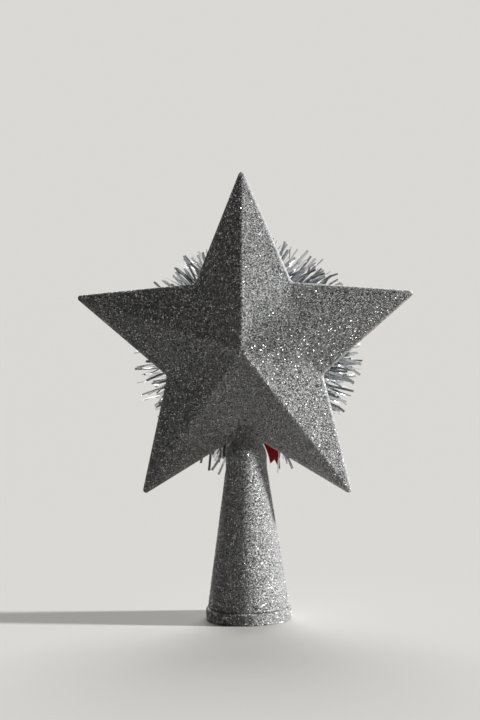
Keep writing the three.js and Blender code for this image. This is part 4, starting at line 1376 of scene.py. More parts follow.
def near_bow(turn):
    """How far under the bow a place on the wreath lies, from 0 to 1."""
    bow_turn = math.atan2(KNOT_CENTRE.z - STAR_Z, KNOT_CENTRE.x)
    apart = abs(math.atan2(math.sin(turn - bow_turn), math.cos(turn - bow_turn)))
    return max(0.0, min(1.0, (BOW_REACH - apart) / BOW_FADE))


def film_strand(dice, i):
    """One strand of film, from its root on the core to its tip, most of them straight and some in a curl."""
    turn = 2 * math.pi * (i + dice.random()) / STRAND_COUNT
    bottom = max(0.0, -math.sin(turn)) ** 4
    widest = math.radians(FURTHEST_IN - BOW_TAKES * near_bow(turn))
    backmost = math.radians(FURTHEST_BACK)
    around = backmost + (widest - backmost) * dice.random() ** INWARD_THINNING
    if near_bow(turn) > 0.5 and dice.random() < STRAIGHT_IN_CHANCE:
        around = math.radians(dice.uniform(*STRAIGHT_IN))
    inward = max(-math.cos(around), LEAST_INWARD)
    room = room_inside(turn) / inward
    length = min(STRAND_LENGTH * dice.uniform(*STRAND_LENGTHS) + LONGER_BELOW * bottom, room)
    start = core_point(turn, around, STRAND_ROOT)
    outward = (core_point(turn, around, 1) - core_point(turn, around, 0)).normalized()
    along = Vector((-math.sin(turn), 0, math.cos(turn)))
    across = outward.cross(along)
    direction = outward + along * math.tan(math.radians(dice.gauss(0, STRAND_STRAYING)))
    direction.z *= STRAND_FLATTENING
    direction.normalize()
    bend = (along * dice.gauss(0, 1) + across * dice.gauss(0, 0.5)) * length * STRAND_BEND
    curled = dice.random() < CURLED_CHANCE
    curl_size = dice.uniform(*(CURLED_SIZES if curled else STRAIGHT_SIZES))
    curl_turns = dice.uniform(*FILM_CURL_TURNS)
    phase = dice.uniform(0, 2 * math.pi)
    points = []
    for step in range(STRAND_STEPS + 1):
        part = step / STRAND_STEPS
        swirl = curl_turns * 2 * math.pi * part + phase
        grown = curl_size * part * min(1.0, length / FULL_CURL_LENGTH)
        offset = (along * math.cos(swirl) + across * math.sin(swirl)) * grown
        point = start + direction * (length * part) + bend * part * part + offset
        over_disc = reach_of(point) < WREATH_RADIUS + OVER_DISC_REACH
        least_y = FACE_PLANE_Y + ABOVE_DISC if over_disc else SEAT_Y + ABOVE_SEAT
        point.y = max(point.y, least_y, behind_socket(point))
        points.append(point)
    twist = dice.uniform(-FILM_TWIST, FILM_TWIST)
    roll = dice.uniform(0, math.pi)
    twists = [roll + twist * step / STRAND_STEPS for step in range(STRAND_STEPS + 1)]
    width = dice.uniform(*FILM_WIDTHS)
    return {"points": points, "twists": twists, "tapers": [width] * len(points), "shade": dice.random()}


def neck_strand(dice, wanted):
    """One of the strands that come out under the star beside the neck, in front of the ribbon's ends."""
    root = core_point(math.radians(wanted["root"]), 0, STRAND_ROOT)
    tip = Vector((wanted["tip"][0], CORE_Y + NECK_TIP_FORWARD, wanted["tip"][1]))
    sideways = (tip - root).cross(Vector((0, 1, 0))).normalized()
    across = sideways * dice.uniform(-NECK_STRAND_BEND, NECK_STRAND_BEND)
    steps = 2 * STRAND_STEPS
    points = []
    for step in range(steps + 1):
        part = step / steps
        point = root.lerp(tip, part) + across * math.sin(math.pi * part)
        point.y = max(point.y, behind_socket(point))
        points.append(point)
    roll = dice.uniform(*NECK_ROLLS)
    twists = [roll + NECK_TWIST * step / steps for step in range(steps + 1)]
    tapers = [wanted["width"]] * len(points)
    return {"points": points, "twists": twists, "tapers": tapers, "shade": wanted["shade"]}


def room_inside(turn):
    """How far a strand can reach inwards before it meets the hair, or the chin where there is no hair."""
    wide = FACE_HALF_WIDTH + CURL_RADIUS
    tall = FACE_HALF_HEIGHT + CURL_RADIUS * (1 if math.sin(turn) > NO_HAIR_BELOW_SINE else 0)
    hair = 1 / math.hypot(math.cos(turn) / wide, math.sin(turn) / tall)
    return max(LEAST_ROOM, WREATH_RADIUS - hair - HAIR_CLEARANCE)


def behind_socket(point):
    """How far back a strand has to stay for the socket's neck, which it crosses behind."""
    clear = NECK_RADIUS + NECK_CLEARANCE
    if point.z > NECK_END_Z + NOSE_HEIGHT or abs(point.x) >= clear:
        return 0.0
    return math.sqrt(clear * clear - point.x * point.x)


def reach_of(point):
    """How far a point is from the star's middle, seen from the front."""
    return math.hypot(point.x, point.z - STAR_Z)


def hides_ribbon_end(strand, number):
    """Whether a strand would hide a ribbon end. One end hangs bare, and the other behind a few strands."""
    tip = strand["points"][-1]
    if tip.y > KNOT_CENTRE.y + BEFORE_RIBBON_Y or reach_of(tip) < WREATH_RADIUS + SHORT_STRAND_REACH:
        return False
    turn = math.degrees(math.atan2(tip.z - STAR_Z, tip.x))
    if PARTED_TURNS[0] < turn < PARTED_TURNS[1]:
        return True
    return THINNED_TURNS[0] < turn < THINNED_TURNS[1] and number % THINNED_TO_ONE_IN > 0


def make_tinsel(film_tree):
    """The wreath's strands of film, less those that would hide a ribbon end."""
    dice = random.Random(WREATH_SEED)
    strands = [film_strand(dice, i) for i in range(STRAND_COUNT)]
    strands = [strand for number, strand in enumerate(strands) if not hides_ribbon_end(strand, number)]
    strands += [neck_strand(dice, wanted) for wanted in NECK_STRANDS]
    sizes = {"Width": FILM_WIDTH * MM, "Thickness": FILM_THICKNESS * MM}
    garland = swept_strands("tinsel_garland", strands, film_tree, sizes, film)
    nodes = ["tinsel_upper_right", "tinsel_upper_left", "tinsel_lower_left", "tinsel_lower_right"]
    stand_for(garland, nodes)


def make_core(wire_tree):
    """The wreath's core: two wires twisted together, all the way round."""
    wires = []
    steps = CORE_TWISTS * STEPS_PER_TWIST
    for phase in (0, math.pi):
        points = []
        for i in range(steps):
            part = i / steps
            around = 2 * math.pi * CORE_TWISTS * part + phase
            points.append(core_point(2 * math.pi * part, around, CORE_TWIST_RADIUS))
        wires.append({"points": points, "shade": 0.5, "closed": True})
    sizes = {"Radius": CORE_WIRE_RADIUS * MM, "Sides": CORE_WIRE_SIDES}
    core = swept_strands("garland_wire_core", wires, wire_tree, sizes, wire)
    stand_for(core, [])


def make_ties(wire_tree):
    """The wire staples that hold the core: each has two legs in the disc and an arch over the core."""
    sizes = {"Radius": TIE_RADIUS * MM, "Sides": TIE_SIDES}
    for number, degrees in enumerate(TIE_TURNS, start=1):
        turn = math.radians(degrees)
        feet = []
        for reach in (WREATH_RADIUS - TIE_ARCH, WREATH_RADIUS + TIE_ARCH):
            feet.append(Vector((reach * math.cos(turn), SEAT_Y + TIE_FOOT, STAR_Z + reach * math.sin(turn))))
        arch = [core_point(turn, math.pi * (1 - i / TIE_STEPS), TIE_ARCH) for i in range(TIE_STEPS + 1)]
        staple = [{"points": [feet[0], *arch, feet[1]], "shade": 0.5}]
        tie = swept_strands(f"wreath_staple_{number}", staple, wire_tree, sizes, wire)
        node = nearest_tie(turn)
        stand_for(tie, [node])


def nearest_tie(turn):
    """The CAD tie at that turn round the wreath."""
    place = core_point(turn, 0, 0)

    def distance(name):
        """How far the middle of a CAD piece is from that place."""
        low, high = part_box(name)
        return ((Vector(low) + Vector(high)) / 2 / MM - place).length
    return min((f"wire_tie_{i}" for i in (1, 2, 3, 4)), key=distance)


# Doll's face

def swell(x, z, at_x, at_z, rise, wide, tall):
    """A soft swelling of the skin, or a hollow where the rise is under 0."""
    return rise * math.exp(-((x - at_x) / wide) ** 2 - ((z - at_z) / tall) ** 2)


def step_between(low, high, value):
    """A soft step from 0 at low to 1 at high."""
    part = max(0.0, min(1.0, (value - low) / (high - low)))
    return part * part * (3 - 2 * part)


def mouth_line(x):
    """The height of the line between the lips, which rises towards the mouth's corners."""
    return MOUTH_Z + MOUTH_SMILE * x * x


def nose_bridge(x, z):
    """The bridge of the nose, which grows wider and higher from between the eyes to the tip."""
    along = step_between(NOSE_ROOT_Z, NOSE_TIP_Z, z)
    rise = NOSE_ROOT_RISE + NOSE_TIP_RISE * along ** 1.5
    half_width = NOSE_ROOT_HALF_WIDTH + NOSE_WIDENING * along
    ends = step_between(*NOSE_LOWER_END, z) * step_between(*NOSE_UPPER_END, z)
    return rise * math.exp(-(x / half_width) ** 2) * ends


def relief(x, z):
    """The doll's features over the bare egg, in millimetres."""
    height = sum(swell(abs(x), z, *feature) for feature in FEATURES.values())
    crease_half_width = MOUTH_HALF_WIDTH - MOUTH_CREASE_ENDS
    mouth = math.exp(-((z - mouth_line(x)) / MOUTH_CREASE) ** 2 - (x / crease_half_width) ** 4)
    return height + nose_bridge(x, z) - MOUTH_DEPTH * mouth


def egg_depth(cosine):
    """How far the bare egg stands out where its unit ball has that cosine."""
    return FACE_DEPTH * cosine ** FACE_FLATNESS


def face_point(u, v):
    """The face's surface for a place on the unit disc."""
    cosine = math.sqrt(max(0.0, 1 - u * u - v * v))
    jaw = 1 - JAW_TAPER * max(0.0, -v) ** 1.5
    x = FACE_HALF_WIDTH * u * jaw
    z = FACE_HALF_HEIGHT * v
    y = egg_depth(cosine) + relief(x, z) * math.sqrt(cosine)
    lid = EYE_RADIUS + EYE_CLEARANCE + LID_THICKNESS
    aside = math.hypot(abs(x) - EYE_CENTRE.x, z + FACE_Z - EYE_CENTRE.z)
    if aside < lid:
        ball_y = EYE_CENTRE.y - FACE_PLANE_Y + math.sqrt(lid * lid - aside * aside)
        y = smooth_max(y, ball_y, LID_BLEND)
    return Vector((x, FACE_PLANE_Y + y, FACE_Z + z))


def smooth_max(a, b, blend):
    """The larger of two heights, blended where they are nearly the same."""
    apart = max(blend - abs(a - b), 0.0) / blend
    return max(a, b) + apart * apart * blend / 4


def opening_edge(dx):
    """Half the height of the eye's opening at a distance from its middle."""
    return EYE_OPENING_HALF_HEIGHT * (1 - (dx / EYE_OPENING_HALF_WIDTH) ** 2)


def lips_at(x, z):
    """How far a place is painted as lips, from 0 to 1. The upper lip dips in the middle."""
    part = min(1.0, abs(x) / MOUTH_HALF_WIDTH)
    top = UPPER_LIP * (1 - part ** 2.2) - LIP_DIP * math.exp(-(x / LIP_DIP_WIDTH) ** 2)
    bottom = LOWER_LIP * (1 - part ** 2.4)
    over = z - mouth_line(x)
    above = step_between(LIP_EDGE, -LIP_EDGE, over - top)
    return above * step_between(LIP_EDGE, -LIP_EDGE, -over - bottom)


def brow_at(x, z):
    """How far a place is painted as brow: an arched stroke that thins out towards both ends."""
    side = abs(x)
    middle = BROW_Z - BROW_ARCH * (side - BROW_CROWN_X) ** 2
    taper = BROW_HALF_HEIGHT * step_between(*BROW_OUTER_TAPER, side)
    half = taper * step_between(*BROW_INNER_TAPER, side) + BROW_LEAST
    inside = 1.0 if BROW_ENDS[0] < side < BROW_ENDS[1] else 0.0
    return step_between(1.0, 0.35, abs(z - middle) / half) * inside


def liner_at(x, z):
    """How far a place is painted as a lid line: a full one above the eye and a thin one below."""
    dx = abs(x) - EYE_CENTRE.x
    dz = z + FACE_Z - EYE_CENTRE.z
    if abs(dx) > EYE_OPENING_HALF_WIDTH + LINER_OVERHANG:
        return 0.0
    upper = step_between(*UPPER_LINER_EDGE, abs(dz - opening_edge(dx) - UPPER_LINER_LIFT))
    lower = step_between(*LOWER_LINER_EDGE, abs(dz + opening_edge(dx) + LOWER_LINER_DROP))
    return max(upper, LOWER_LINER * lower)


def paint_face(mesh):
    """Stores how far each vertex is painted with each of the face's paints."""
    masks = {name: [] for name in FACE_PAINTS}
    for vertex in mesh.vertices:
        x = vertex.co.x / MM
        side = abs(x)
        z = vertex.co.z / MM - FACE_Z
        facing = 1.0 if vertex.co.y / MM > FACE_PLANE_Y + PAINT_FROM_Y else 0.0
        masks["lips"].append(lips_at(x, z) * facing)
        masks["blush"].append(min(1.0, swell(side, z, *BLUSH)) * facing)
        masks["brow"].append(brow_at(x, z) * facing * BROW_STRENGTH)
        masks["liner"].append(liner_at(x, z) * facing)
        # The shadow mask holds eye shadow on the lids and painted shade at the nostrils.
        masks["shadow"].append(min(1.0, swell(side, z, *LID_SHADOW) + swell(side, z, *NOSTRIL)) * facing)
    for label, values in masks.items():
        mesh.attributes.new(label, "FLOAT", "POINT").data.foreach_set("value", values)


def face_surface():
    """Points and faces of the mask: a square grid drawn round into a disc, closed by a flat back."""
    count = FACE_GRID
    points = []
    for i in range(count + 1):
        for j in range(count + 1):
            a = 2 * i / count - 1
            b = 2 * j / count - 1
            flat = Vector((a * math.sqrt(1 - b * b / 2), b * math.sqrt(1 - a * a / 2)))
            if flat.length > 0:
                flat *= math.sin(min(1.0, flat.length) * math.pi / 2) / flat.length
            points.append(face_point(flat.x, flat.y))
    faces = []
    for i in range(count):
        for j in range(count):
            low = i * (count + 1) + j
            faces.append([low, low + 1, low + count + 2, low + count + 1])
    border = list(range(count))
    border += [i * (count + 1) + count for i in range(count)]
    border += [count * (count + 1) + j for j in range(count, 0, -1)]
    border += [i * (count + 1) for i in range(count, 0, -1)]
    middle = len(points)
    points.append(Vector((0, FACE_PLANE_Y, FACE_Z)))
    faces += [[b, a, middle] for a, b in zip(border, border[1:] + border[:1])]
    return points, faces


def make_face():
    """The doll's face, with its eyes' sockets and openings cut out and its features painted."""
    points, faces = face_surface()
    face = new_piece("doll_face_mask", points, faces, vinyl)
    cutters = [cutter for side in (-1, 1) for cutter in eye_cutters(side)]
    for cutter in cutters:
        cut = face.modifiers.new(cutter.name, "BOOLEAN")
        cut.operation = "DIFFERENCE"
        cut.solver = "EXACT"
        cut.object = cutter
    settled(face)
    for cutter in cutters:
        bpy.data.objects.remove(cutter)
    face.data.shade_smooth()
    face.data.set_sharp_from_angle(angle=math.radians(CUT_FACE_SHARP_ANGLE))
    paint_face(face.data)
    stand_for(face, ["face_mask"])


def ball_rings(centre, radius, around, down):
    """Rings of a ball, from its front to its back."""
    rings = []
    for i in range(down + 1):
        tilt = math.pi * i / down
        if i in (0, down):
            rings.append([centre + Vector((0, radius * math.cos(tilt), 0))])
            continue
        ring = []
        for j in range(around):
            turn = 2 * math.pi * j / around
            across = radius * math.sin(tilt)
            offset = Vector((across * math.cos(turn), radius * math.cos(tilt), across * math.sin(turn)))
            ring.append(centre + offset)
        rings.append(ring)
    return rings


def eye_middle(side):
    """The middle of the eye on the side +1 or -1."""
    return Vector((side * EYE_CENTRE.x, EYE_CENTRE.y, EYE_CENTRE.z))


def eye_cutters(side):
    """The eye's socket and the almond between its lids, to be cut out of the mask."""
    centre = eye_middle(side)
    ball = ball_rings(centre, EYE_RADIUS + EYE_CLEARANCE, EYE_SOCKET_SIDES, EYE_SOCKET_RINGS)
    points, faces = surface_of_rings(ball)
    socket = new_piece(f"eye_socket_cutter_{side}", points, faces, vinyl)
    outline = []
    for direction in (1, -1):
        for i in range(ALMOND_STEPS):
            dx = direction * EYE_OPENING_HALF_WIDTH * (2 * i / ALMOND_STEPS - 1)
            outline.append((dx, direction * opening_edge(dx)))
    front = EYE_RADIUS + ALMOND_REACH
    near = [centre + Vector((dx, 0, dz)) for dx, dz in outline]
    far = [centre + Vector((dx * ALMOND_FLARE_X, front, dz * ALMOND_FLARE_Z)) for dx, dz in outline]
    points, faces = surface_of_rings([[centre], near, far, [centre + Vector((0, front, 0))]])
    almond = new_piece(f"eye_opening_cutter_{side}", points, faces, vinyl)
    return socket, almond


def make_eyes():
    """The eyes: each vertex knows how far it is from the pupil, and on which spoke of the iris it lies."""
    for name, side in (("right", 1), ("left", -1)):
        centre = eye_middle(side)
        points, faces = surface_of_rings(ball_rings(centre, EYE_RADIUS, EYE_SPOKES, EYE_RINGS))
        eye = new_piece(f"doll_eye_{name}", points, faces, acrylic)
        gaze = []
        spokes = []
        dice = random.Random(IRIS_SEED)
        shades = [dice.random() for i in range(EYE_SPOKES)]
        for vertex in eye.data.vertices:
            away = vertex.co / MM - centre
            angle = math.acos(max(-1.0, min(1.0, away.y / EYE_RADIUS)))
            gaze.append(angle / (math.pi / 2))
            turn = math.atan2(away.z, away.x) / (2 * math.pi) * EYE_SPOKES
            inside = 1.0 if IRIS[0] < gaze[-1] < IRIS[1] else 0.0
            spokes.append(inside * shades[round(turn) % EYE_SPOKES])
        eye.data.attributes.new("gaze", "FLOAT", "POINT").data.foreach_set("value", gaze)
        eye.data.attributes.new("spoke", "FLOAT", "POINT").data.foreach_set("value", spokes)
        stand_for(eye, [f"eye_{name}"])


def make_lashes(hair_tree):
    """Lashes along the upper lids, which fan out and curve up."""
    sizes = {"Radius": LASH_RADIUS * MM, "Sides": LASH_SIDES}
    for name, side in (("right", 1), ("left", -1)):
        lashes = []
        for i in range(LASH_COUNT):
            part = 2 * i / (LASH_COUNT - 1) - 1
            dx = part * EYE_OPENING_HALF_WIDTH * LASH_ROW_PART
            reach = math.sqrt((EYE_RADIUS + LASH_ROOT) ** 2 - dx ** 2 - opening_edge(dx) ** 2)
            root = eye_middle(side) + Vector((dx, reach, opening_edge(dx)))
            length = LASH_LENGTH - LASH_SHORTER_ASIDE * abs(part)
            points = []
            for step in range(len(LASH_TAPERS)):
                t = step / (len(LASH_TAPERS) - 1)
                up = LASH_RISE * t + LASH_CURL * t * t
                points.append(root + Vector((part * LASH_FAN * t, LASH_FORWARD * t, up)) * length)
            lashes.append({"points": points, "tapers": LASH_TAPERS, "shade": 0.1})
        made = swept_strands(f"lashes_{name}", lashes, hair_tree, sizes, lash_hair)
        stand_for(made, [])


# Doll's hair

def curl_places():
    """Centre, radius and outward direction of each curl round the face and of the fringe."""
    places = []
    for i in range(CURL_COUNT):
        turn = math.radians(CURL_START + (180 - 2 * CURL_START) * i / (CURL_COUNT - 1))
        out = Vector((math.cos(turn), 0, math.sin(turn)))
        x = (FACE_HALF_WIDTH + CURL_RING_OFFSET) * out.x
        z = FACE_Z + (FACE_HALF_HEIGHT + CURL_RING_OFFSET) * out.z
        y = FACE_PLANE_Y + CURL_RADIUS * CURL_DEPTHS[i % 2]
        radius = CURL_RADIUS * (1 - CURL_UNEVENNESS * abs(math.sin(i * CURL_UNEVEN_BEAT)))
        places.append((Vector((x, y, z)), radius, out))
    for i in range(FRINGE_COUNT):
        part = 2 * i / (FRINGE_COUNT - 1) - 1
        x = part * FRINGE_HALF_WIDTH
        z = FACE_HALF_HEIGHT - FRINGE_BELOW_CROWN - FRINGE_DROP * part * part
        cosine = math.sqrt(1 - (x / FACE_HALF_WIDTH) ** 2 - (z / FACE_HALF_HEIGHT) ** 2)
        y = FACE_PLANE_Y + egg_depth(cosine) - FRINGE_SINK
        out = Vector((part * FRINGE_FAN, 0, 1)).normalized()
        places.append((Vector((x, y, FACE_Z + z)), FRINGE_RADIUS, out))
    return places


def curl_hairs(dice, centre, radius, out, number):
    """One lock of hairs wound into a curl, from its root at the back to the middle of its front."""
    sway = Vector((dice.uniform(-CURL_SWAY, CURL_SWAY), 0, dice.uniform(-CURL_SWAY, CURL_SWAY)))
    axis = (Vector((0, 1, 0)) + out * CURL_LEAN + sway).normalized()
    first = axis.orthogonal().normalized()
    second = axis.cross(first)
    handed = 1 if number % 2 == 0 else -1
    start = dice.uniform(0, 2 * math.pi)
    turns = dice.uniform(*LOCK_TURNS)
    back = math.radians(LOCK_BACK)
    front = math.radians(LOCK_FRONT)
    combed = dice.choice((3, 4))
    comb_phase = dice.uniform(0, 2 * math.pi)
    half_lock = (back - front) / turns / 2
    hairs = []
    for i in range(HAIRS_PER_CURL):
        across = dice.uniform(-1, 1)
        stray = dice.random() < STRAY_CHANCE
        body = math.sqrt(1 - across * across)
        comb = math.cos(combed * math.pi * across + comb_phase)
        reach = radius * (LOCK_REACH + LOCK_ROUNDNESS * body + COMB_DEPTH * comb)
        reach *= dice.uniform(*(STRAY_REACH if stray else COMBED_REACH))
        wander = math.radians(dice.uniform(*WANDER)) * (2 if stray else 1)
        beat = dice.uniform(*WANDER_BEATS)
        phase = dice.uniform(0, 2 * math.pi)
        end = dice.uniform(SHORTEST_HAIR, 1.0)
        points = []
        for step in range(CURL_STEPS + 1):
            part = end * step / CURL_STEPS
            angle = start + handed * turns * 2 * math.pi * part
            down = back - (back - front) * part + half_lock * across + wander * math.sin(beat * part + phase)
            spoke = first * math.cos(angle) + second * math.sin(angle)
            point = centre + (spoke * math.sin(down) + axis * math.cos(down)) * reach
            point.y = max(point.y, FACE_PLANE_Y + HAIR_RADIUS + ABOVE_CARD)
            points.append(point)
        # Painted light and shade: lighter in the lock's middle and on its ridges, darker at its edges and in
        # its grooves.
        shade = HAIR_SHADE + LOCK_MIDDLE_PAINTED_LIGHT * body + COMB_RIDGE_PAINTED_LIGHT * comb + dice.uniform(*SHADE_CHANCE)
        hairs.append({"points": points, "tapers": HAIR_TAPERS, "shade": max(0.0, min(1.0, shade))})
    return hairs


def make_hair(hair_tree):
    """The curls round the face, the fringe over it, and balls of hair under both that fill them."""
    dice = random.Random(HAIR_SEED)
    ring = []
    fringe = []
    all_points = []
    all_faces = []
    for number, (centre, radius, out) in enumerate(curl_places()):
        hairs = ring if number < CURL_COUNT else fringe
        hairs += curl_hairs(dice, centre, radius, out, number)
        ball = ball_rings(centre, radius * UNDERLAYER_PART, UNDERLAYER_SIDES, UNDERLAYER_RINGS)
        points, faces = surface_of_rings(ball)
        start = len(all_points)
        all_points += [Vector((p.x, max(p.y, FACE_PLANE_Y + ABOVE_CARD), p.z)) for p in points]
        all_faces += [[start + i for i in corners] for corners in faces]
    sizes = {"Radius": HAIR_RADIUS * MM, "Sides": HAIR_SIDES}
    curls = swept_strands("doll_curls", ring, hair_tree, sizes, brown_hair)
    stand_for(curls, ["doll_hair"])
    front = swept_strands("doll_fringe", fringe, hair_tree, sizes, brown_hair)
    stand_for(front, [])
    cap = new_piece("doll_hair_underlayer", all_points, all_faces, under_hair)
    stand_for(cap, [])


# Ribbon bow

def ribbon_sheet(name, rows):
    """A closed thin ribbon from rows of points across it, with a woven map that runs along it."""
    count = len(rows)
    across = len(rows[0])
    half = RIBBON_THICKNESS / 2
    normals = []
    for i in range(count):
        along = rows[min(i + 1, count - 1)][across // 2] - rows[max(i - 1, 0)][across // 2]
        line = []
        for j in range(across):
            sideways = rows[i][min(j + 1, across - 1)] - rows[i][max(j - 1, 0)]
            line.append(sideways.cross(along).normalized() * half)
        normals.append(line)
    points = []
    for sign in (1, -1):
        for i in range(count):
            points += [rows[i][j] + normals[i][j] * sign for j in range(across)]
    faces = []
    back = count * across
    for i in range(count - 1):
        for j in range(across - 1):
            a = i * across + j
            faces.append([a, a + 1, a + across + 1, a + across])
            faces.append([back + a, back + a + across, back + a + across + 1, back + a + 1])
        for j in (0, across - 1):
            a = i * across + j
            side = [a, a + across, back + a + across, back + a]
            faces.append(side if j == 0 else side[::-1])
    for i in (0, count - 1):
        for j in range(across - 1):
            a = i * across + j
            end = [a, back + a, back + a + 1, a + 1]
            faces.append(end if i == 0 else end[::-1])
    piece = new_piece(name, points, faces, satin)
    weave = piece.data.uv_layers.new(name="weave")
    for loop in piece.data.loops:
        row, column = divmod(loop.vertex_index % back, across)
        weave.data[loop.index].uv = (column / (across - 1) * RIBBON_WIDTH, row * WEAVE_STEP)
    return piece


def loop_rows(side):
    """Rows across a bow loop, from the knot out in front, round the end and back behind."""
    rows = []
    for i in range(LOOP_STEPS + 1):
        turn = math.pi * i / LOOP_STEPS
        out = math.sin(turn)
        pinch = (1 - out) ** 1.5
        half = RIBBON_WIDTH / 2 * (1 - LOOP_PINCH * pinch)
        reach = LOOP_LENGTH * out ** 0.85
        depth = LOOP_HALF_DEPTH * out ** 1.1 * math.cos(turn) * LOOP_PLUMPNESS
        depth += LOOP_ROOT_DEPTH * math.cos(turn) + LOOP_FORWARD * out
        shift = -LOOP_SKEW * out * math.cos(turn) - LOOP_DROOP * out * out
        row = []
        for j in range(LOOP_ACROSS + 1):
            t = 2 * j / LOOP_ACROSS - 1
            crease = LOOP_CREASE * pinch * math.cos(3 * math.pi * t + LOOP_CREASE_PHASE * side)
            crease += LOOP_RIPPLE * out * math.cos(turn) * math.cos(LOOP_RIPPLE_BEATS * math.pi * t)
            aside = KNOT_HALF.x - LOOP_TUCK + reach
            aside += (LOOP_END_SLANT * t - LOOP_END_ROUNDING * t * t) * out ** 3
            y = KNOT_CENTRE.y + depth + crease
            row.append(Vector((KNOT_CENTRE.x + side * aside, y, KNOT_CENTRE.z + half * t + shift)))
        rows.append(row)
    return rows


def tail_rows(side):
    """Rows across a bow tail, from under the knot to its notched end."""
    rows = []
    top_z = KNOT_CENTRE.z - KNOT_HALF.z + TAIL_TUCK
    top = Vector((KNOT_CENTRE.x + side * TAIL_TOP_ASIDE, KNOT_CENTRE.y + side * TAIL_TOP_FORWARD, top_z))
    (bend_x, bend_z), (end_x, end_z), end_twist = RIGHT_TAIL if side > 0 else LEFT_TAIL
    bend = Vector((bend_x, top.y + TAIL_BEND_FORWARD, bend_z))
    end = Vector((end_x, top.y + TAIL_END_FORWARD, end_z))
    for i in range(TAIL_STEPS + 1):
        part = i / TAIL_STEPS
        middle = top.lerp(bend, part).lerp(bend.lerp(end, part), part)
        ahead = (bend - top).lerp(end - bend, part).normalized()
        twist = side * math.radians(end_twist) * part
        sideways = Vector((math.cos(twist), math.sin(twist), 0))
        sideways = (sideways - ahead * sideways.dot(ahead)).normalized()
        outward = ahead.cross(sideways)
        near_knot = (1 - part) ** 2
        half = RIBBON_WIDTH / 2 * (1 - TAIL_PINCH * near_knot)
        row = []
        for j in range(TAIL_ACROSS + 1):
            t = 2 * j / TAIL_ACROSS - 1
            wave = TAIL_CREASE * near_knot * math.cos(TAIL_CREASE_BEATS * math.pi * t)
            wave += TAIL_WAVE * math.sin(TAIL_WAVE_BEAT * part + TAIL_WAVE_LEAN * t) * part
            notch = (TAIL_CUT * (abs(t) - TAIL_CUT_MIDDLE) + TAIL_CUT_SLANT * t) * part ** 6
            row.append(middle + sideways * (half * t) + outward * wave + ahead * notch)
        rows.append(row)
    return rows


def make_knot():
    """A band wrapped over the bow's middle, with folds that run round it."""
    rings = []
    for i in range(KNOT_DOWN + 1):
        t = 2 * i / KNOT_DOWN - 1
        if abs(t) == 1:
            rings.append([KNOT_CENTRE + Vector((t * (KNOT_HALF.x - KNOT_END_INSET), 0, 0))])
            continue
        shell = (1 - abs(t) ** KNOT_SQUARENESS) ** KNOT_FULLNESS
        ring = []
        for j in range(KNOT_AROUND):
            turn = 2 * math.pi * j / KNOT_AROUND
            beat = math.cos(KNOT_FOLD_BEAT * t + KNOT_FOLD_SWAY * math.sin(turn))
            fold = 1 - KNOT_FOLD * (0.5 + 0.5 * beat) * shell
            y = KNOT_HALF.y * shell * fold * math.cos(turn)
            z = KNOT_HALF.z * shell * fold * math.sin(turn)
            ring.append(KNOT_CENTRE + Vector((t * (KNOT_HALF.x - KNOT_SIDE_INSET), y, z)))
        rings.append(ring)
    points, faces = surface_of_rings(rings)
    knot = new_piece("satin_knot", points, faces, satin)
    weave = knot.data.uv_layers.new(name="weave")
    for loop in knot.data.loops:
        place = knot.data.vertices[loop.vertex_index].co / MM - KNOT_CENTRE
        weave.data[loop.index].uv = (place.x, math.atan2(place.z, place.y))
    return knot


def make_bow():
    """The bow's loops, tails and knot."""
    for name, side in (("right", 1), ("left", -1)):
        loop = ribbon_sheet(f"satin_loop_{name}", loop_rows(side))
        stand_for(loop, [f"bow_loop_{name}"])
        tail = ribbon_sheet(f"satin_tail_{name}", tail_rows(side))
        stand_for(tail, [f"bow_tail_{name}"])
    stand_for(make_knot(), ["bow_knot"])


# Stage, light and camera

def make_stage():
    """A pale floor, wide enough that its far edge meets surroundings of the same colour."""
    profile = [(0, 0), (FLOOR_MIDDLE_RADIUS, 0), (FLOOR_RADIUS, 0)]
    points, faces = surface_of_rings(lathe_rings(profile, FLOOR_SIDES))
    mesh = bpy.data.meshes.new("pale_floor")
    mesh.from_pydata([point * MM for point in points], [], faces)
    mesh.materials.append(stage_paper())
    floor = bpy.data.objects.new("pale_floor", mesh)
    bpy.context.collection.objects.link(floor)


def make_sun(name, towards, strength, degrees):
    """A sun that shines from there, with soft shadows for a wide angle."""
    lamp = bpy.data.lights.new(name, "SUN")
    lamp.energy = strength
    lamp.angle = math.radians(degrees)
    holder = bpy.data.objects.new(name, lamp)
    holder.rotation_euler = towards.to_track_quat("Z", "Y").to_euler()
    bpy.context.collection.objects.link(holder)


def make_lights():
    """Two suns, and dim surroundings that the camera sees as lit paper."""
    make_sun("key_from_the_right", TOWARDS_KEY, KEY_STRENGTH, KEY_ANGLE)
    make_sun("light_on_the_face_side", TOWARDS_FACE_LIGHT, FACE_LIGHT_STRENGTH, FACE_LIGHT_ANGLE)
    world = bpy.data.worlds.new("pale_surroundings")
    world.use_nodes = True
    tree = world.node_tree
    around = linear(SURROUNDINGS)
    level = (KEY_STRENGTH * TOWARDS_KEY.z + FACE_LIGHT_STRENGTH * TOWARDS_FACE_LIGHT.z) / math.pi
    lit_paper = [paper * (level + bounce) for paper, bounce in zip(linear(PAPER)[:3], around)]
    shown = mix_colour(tree, seen_directly(tree), around, (*lit_paper, 1.0))
    tree.links.new(shown, tree.nodes["Background"].inputs["Color"])
    bpy.context.scene.world = world


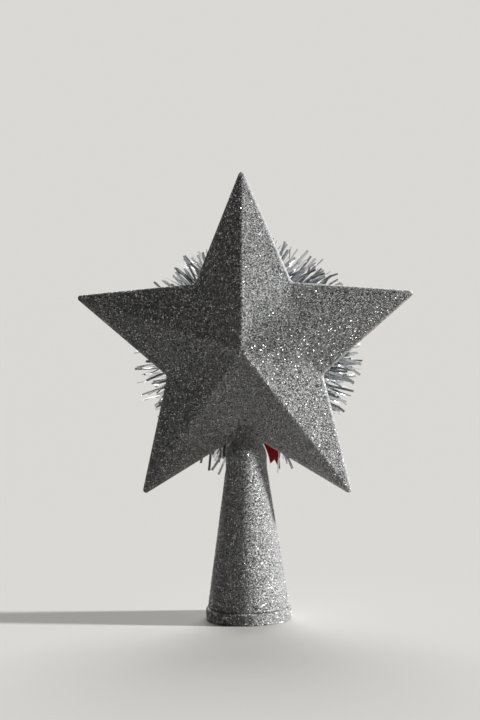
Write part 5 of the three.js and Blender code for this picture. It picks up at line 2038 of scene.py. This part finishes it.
def make_camera():
    """The camera that took the photograph, as fitted to it."""
    azimuth = math.radians(CAMERA_AZIMUTH)
    elevation = math.radians(CAMERA_ELEVATION)
    away = Vector((
        math.sin(azimuth) * math.cos(elevation),
        -math.cos(azimuth) * math.cos(elevation),
        math.sin(elevation),
    ))
    right = (-away).cross(Vector((0, 0, 1))).normalized()
    up = right.cross(-away)
    roll = math.radians(CAMERA_ROLL)
    rolled_right = right * math.cos(roll) + up * math.sin(roll)
    rolled_up = up * math.cos(roll) - right * math.sin(roll)
    turned = Matrix((rolled_right, rolled_up, away)).transposed().to_4x4()
    data = bpy.data.cameras.new("photograph_view")
    data.lens = CAMERA_LENS
    data.sensor_fit = "VERTICAL"
    data.sensor_height = CAMERA_LONG_SIDE
    data.clip_start = CAMERA_NEAREST * MM
    data.clip_end = CAMERA_FARTHEST * MM
    camera = bpy.data.objects.new("photograph_view", data)
    camera.matrix_world = Matrix.Translation((LOOK_POINT + away * CAMERA_DISTANCE) * MM) @ turned
    bpy.context.collection.objects.link(camera)
    bpy.context.scene.camera = camera
    bpy.context.scene.view_settings.view_transform = "Standard"


make_camera()
make_lights()
make_stage()

glitter = glitter_coat()
flake_finish = loose_flake()
bare_plastic = moulded_polystyrene()
card = laminated_card()
film = tinsel_film()
wire = drawn_wire()
vinyl = doll_vinyl()
acrylic = doll_eye()
brown_hair = mohair("set_mohair", "#4a2b14", "#d6a869")
under_hair = mohair("mohair_underlayer", "#3a2211", "#4a2c16")
lash_hair = mohair("lash_bristle", "#2a1a12", "#3a261a")
satin = satin_ribbon()

loose_flakes = flake_tree(flake_finish)
film_strands = strand_tree("film_strands", {"Width": "Float", "Thickness": "Float"}, film_section, False)
round_strands = strand_tree("round_strands", {"Radius": "Float", "Sides": "Int"}, round_section, True)

make_star(loose_flakes)
make_joint_fillet(loose_flakes)
make_socket(loose_flakes)
make_foot_band(loose_flakes)
make_disc()
make_tinsel(film_strands)
make_core(round_strands)
make_ties(round_strands)
make_face()
make_eyes()
make_lashes(round_strands)
make_hair(round_strands)
make_bow()
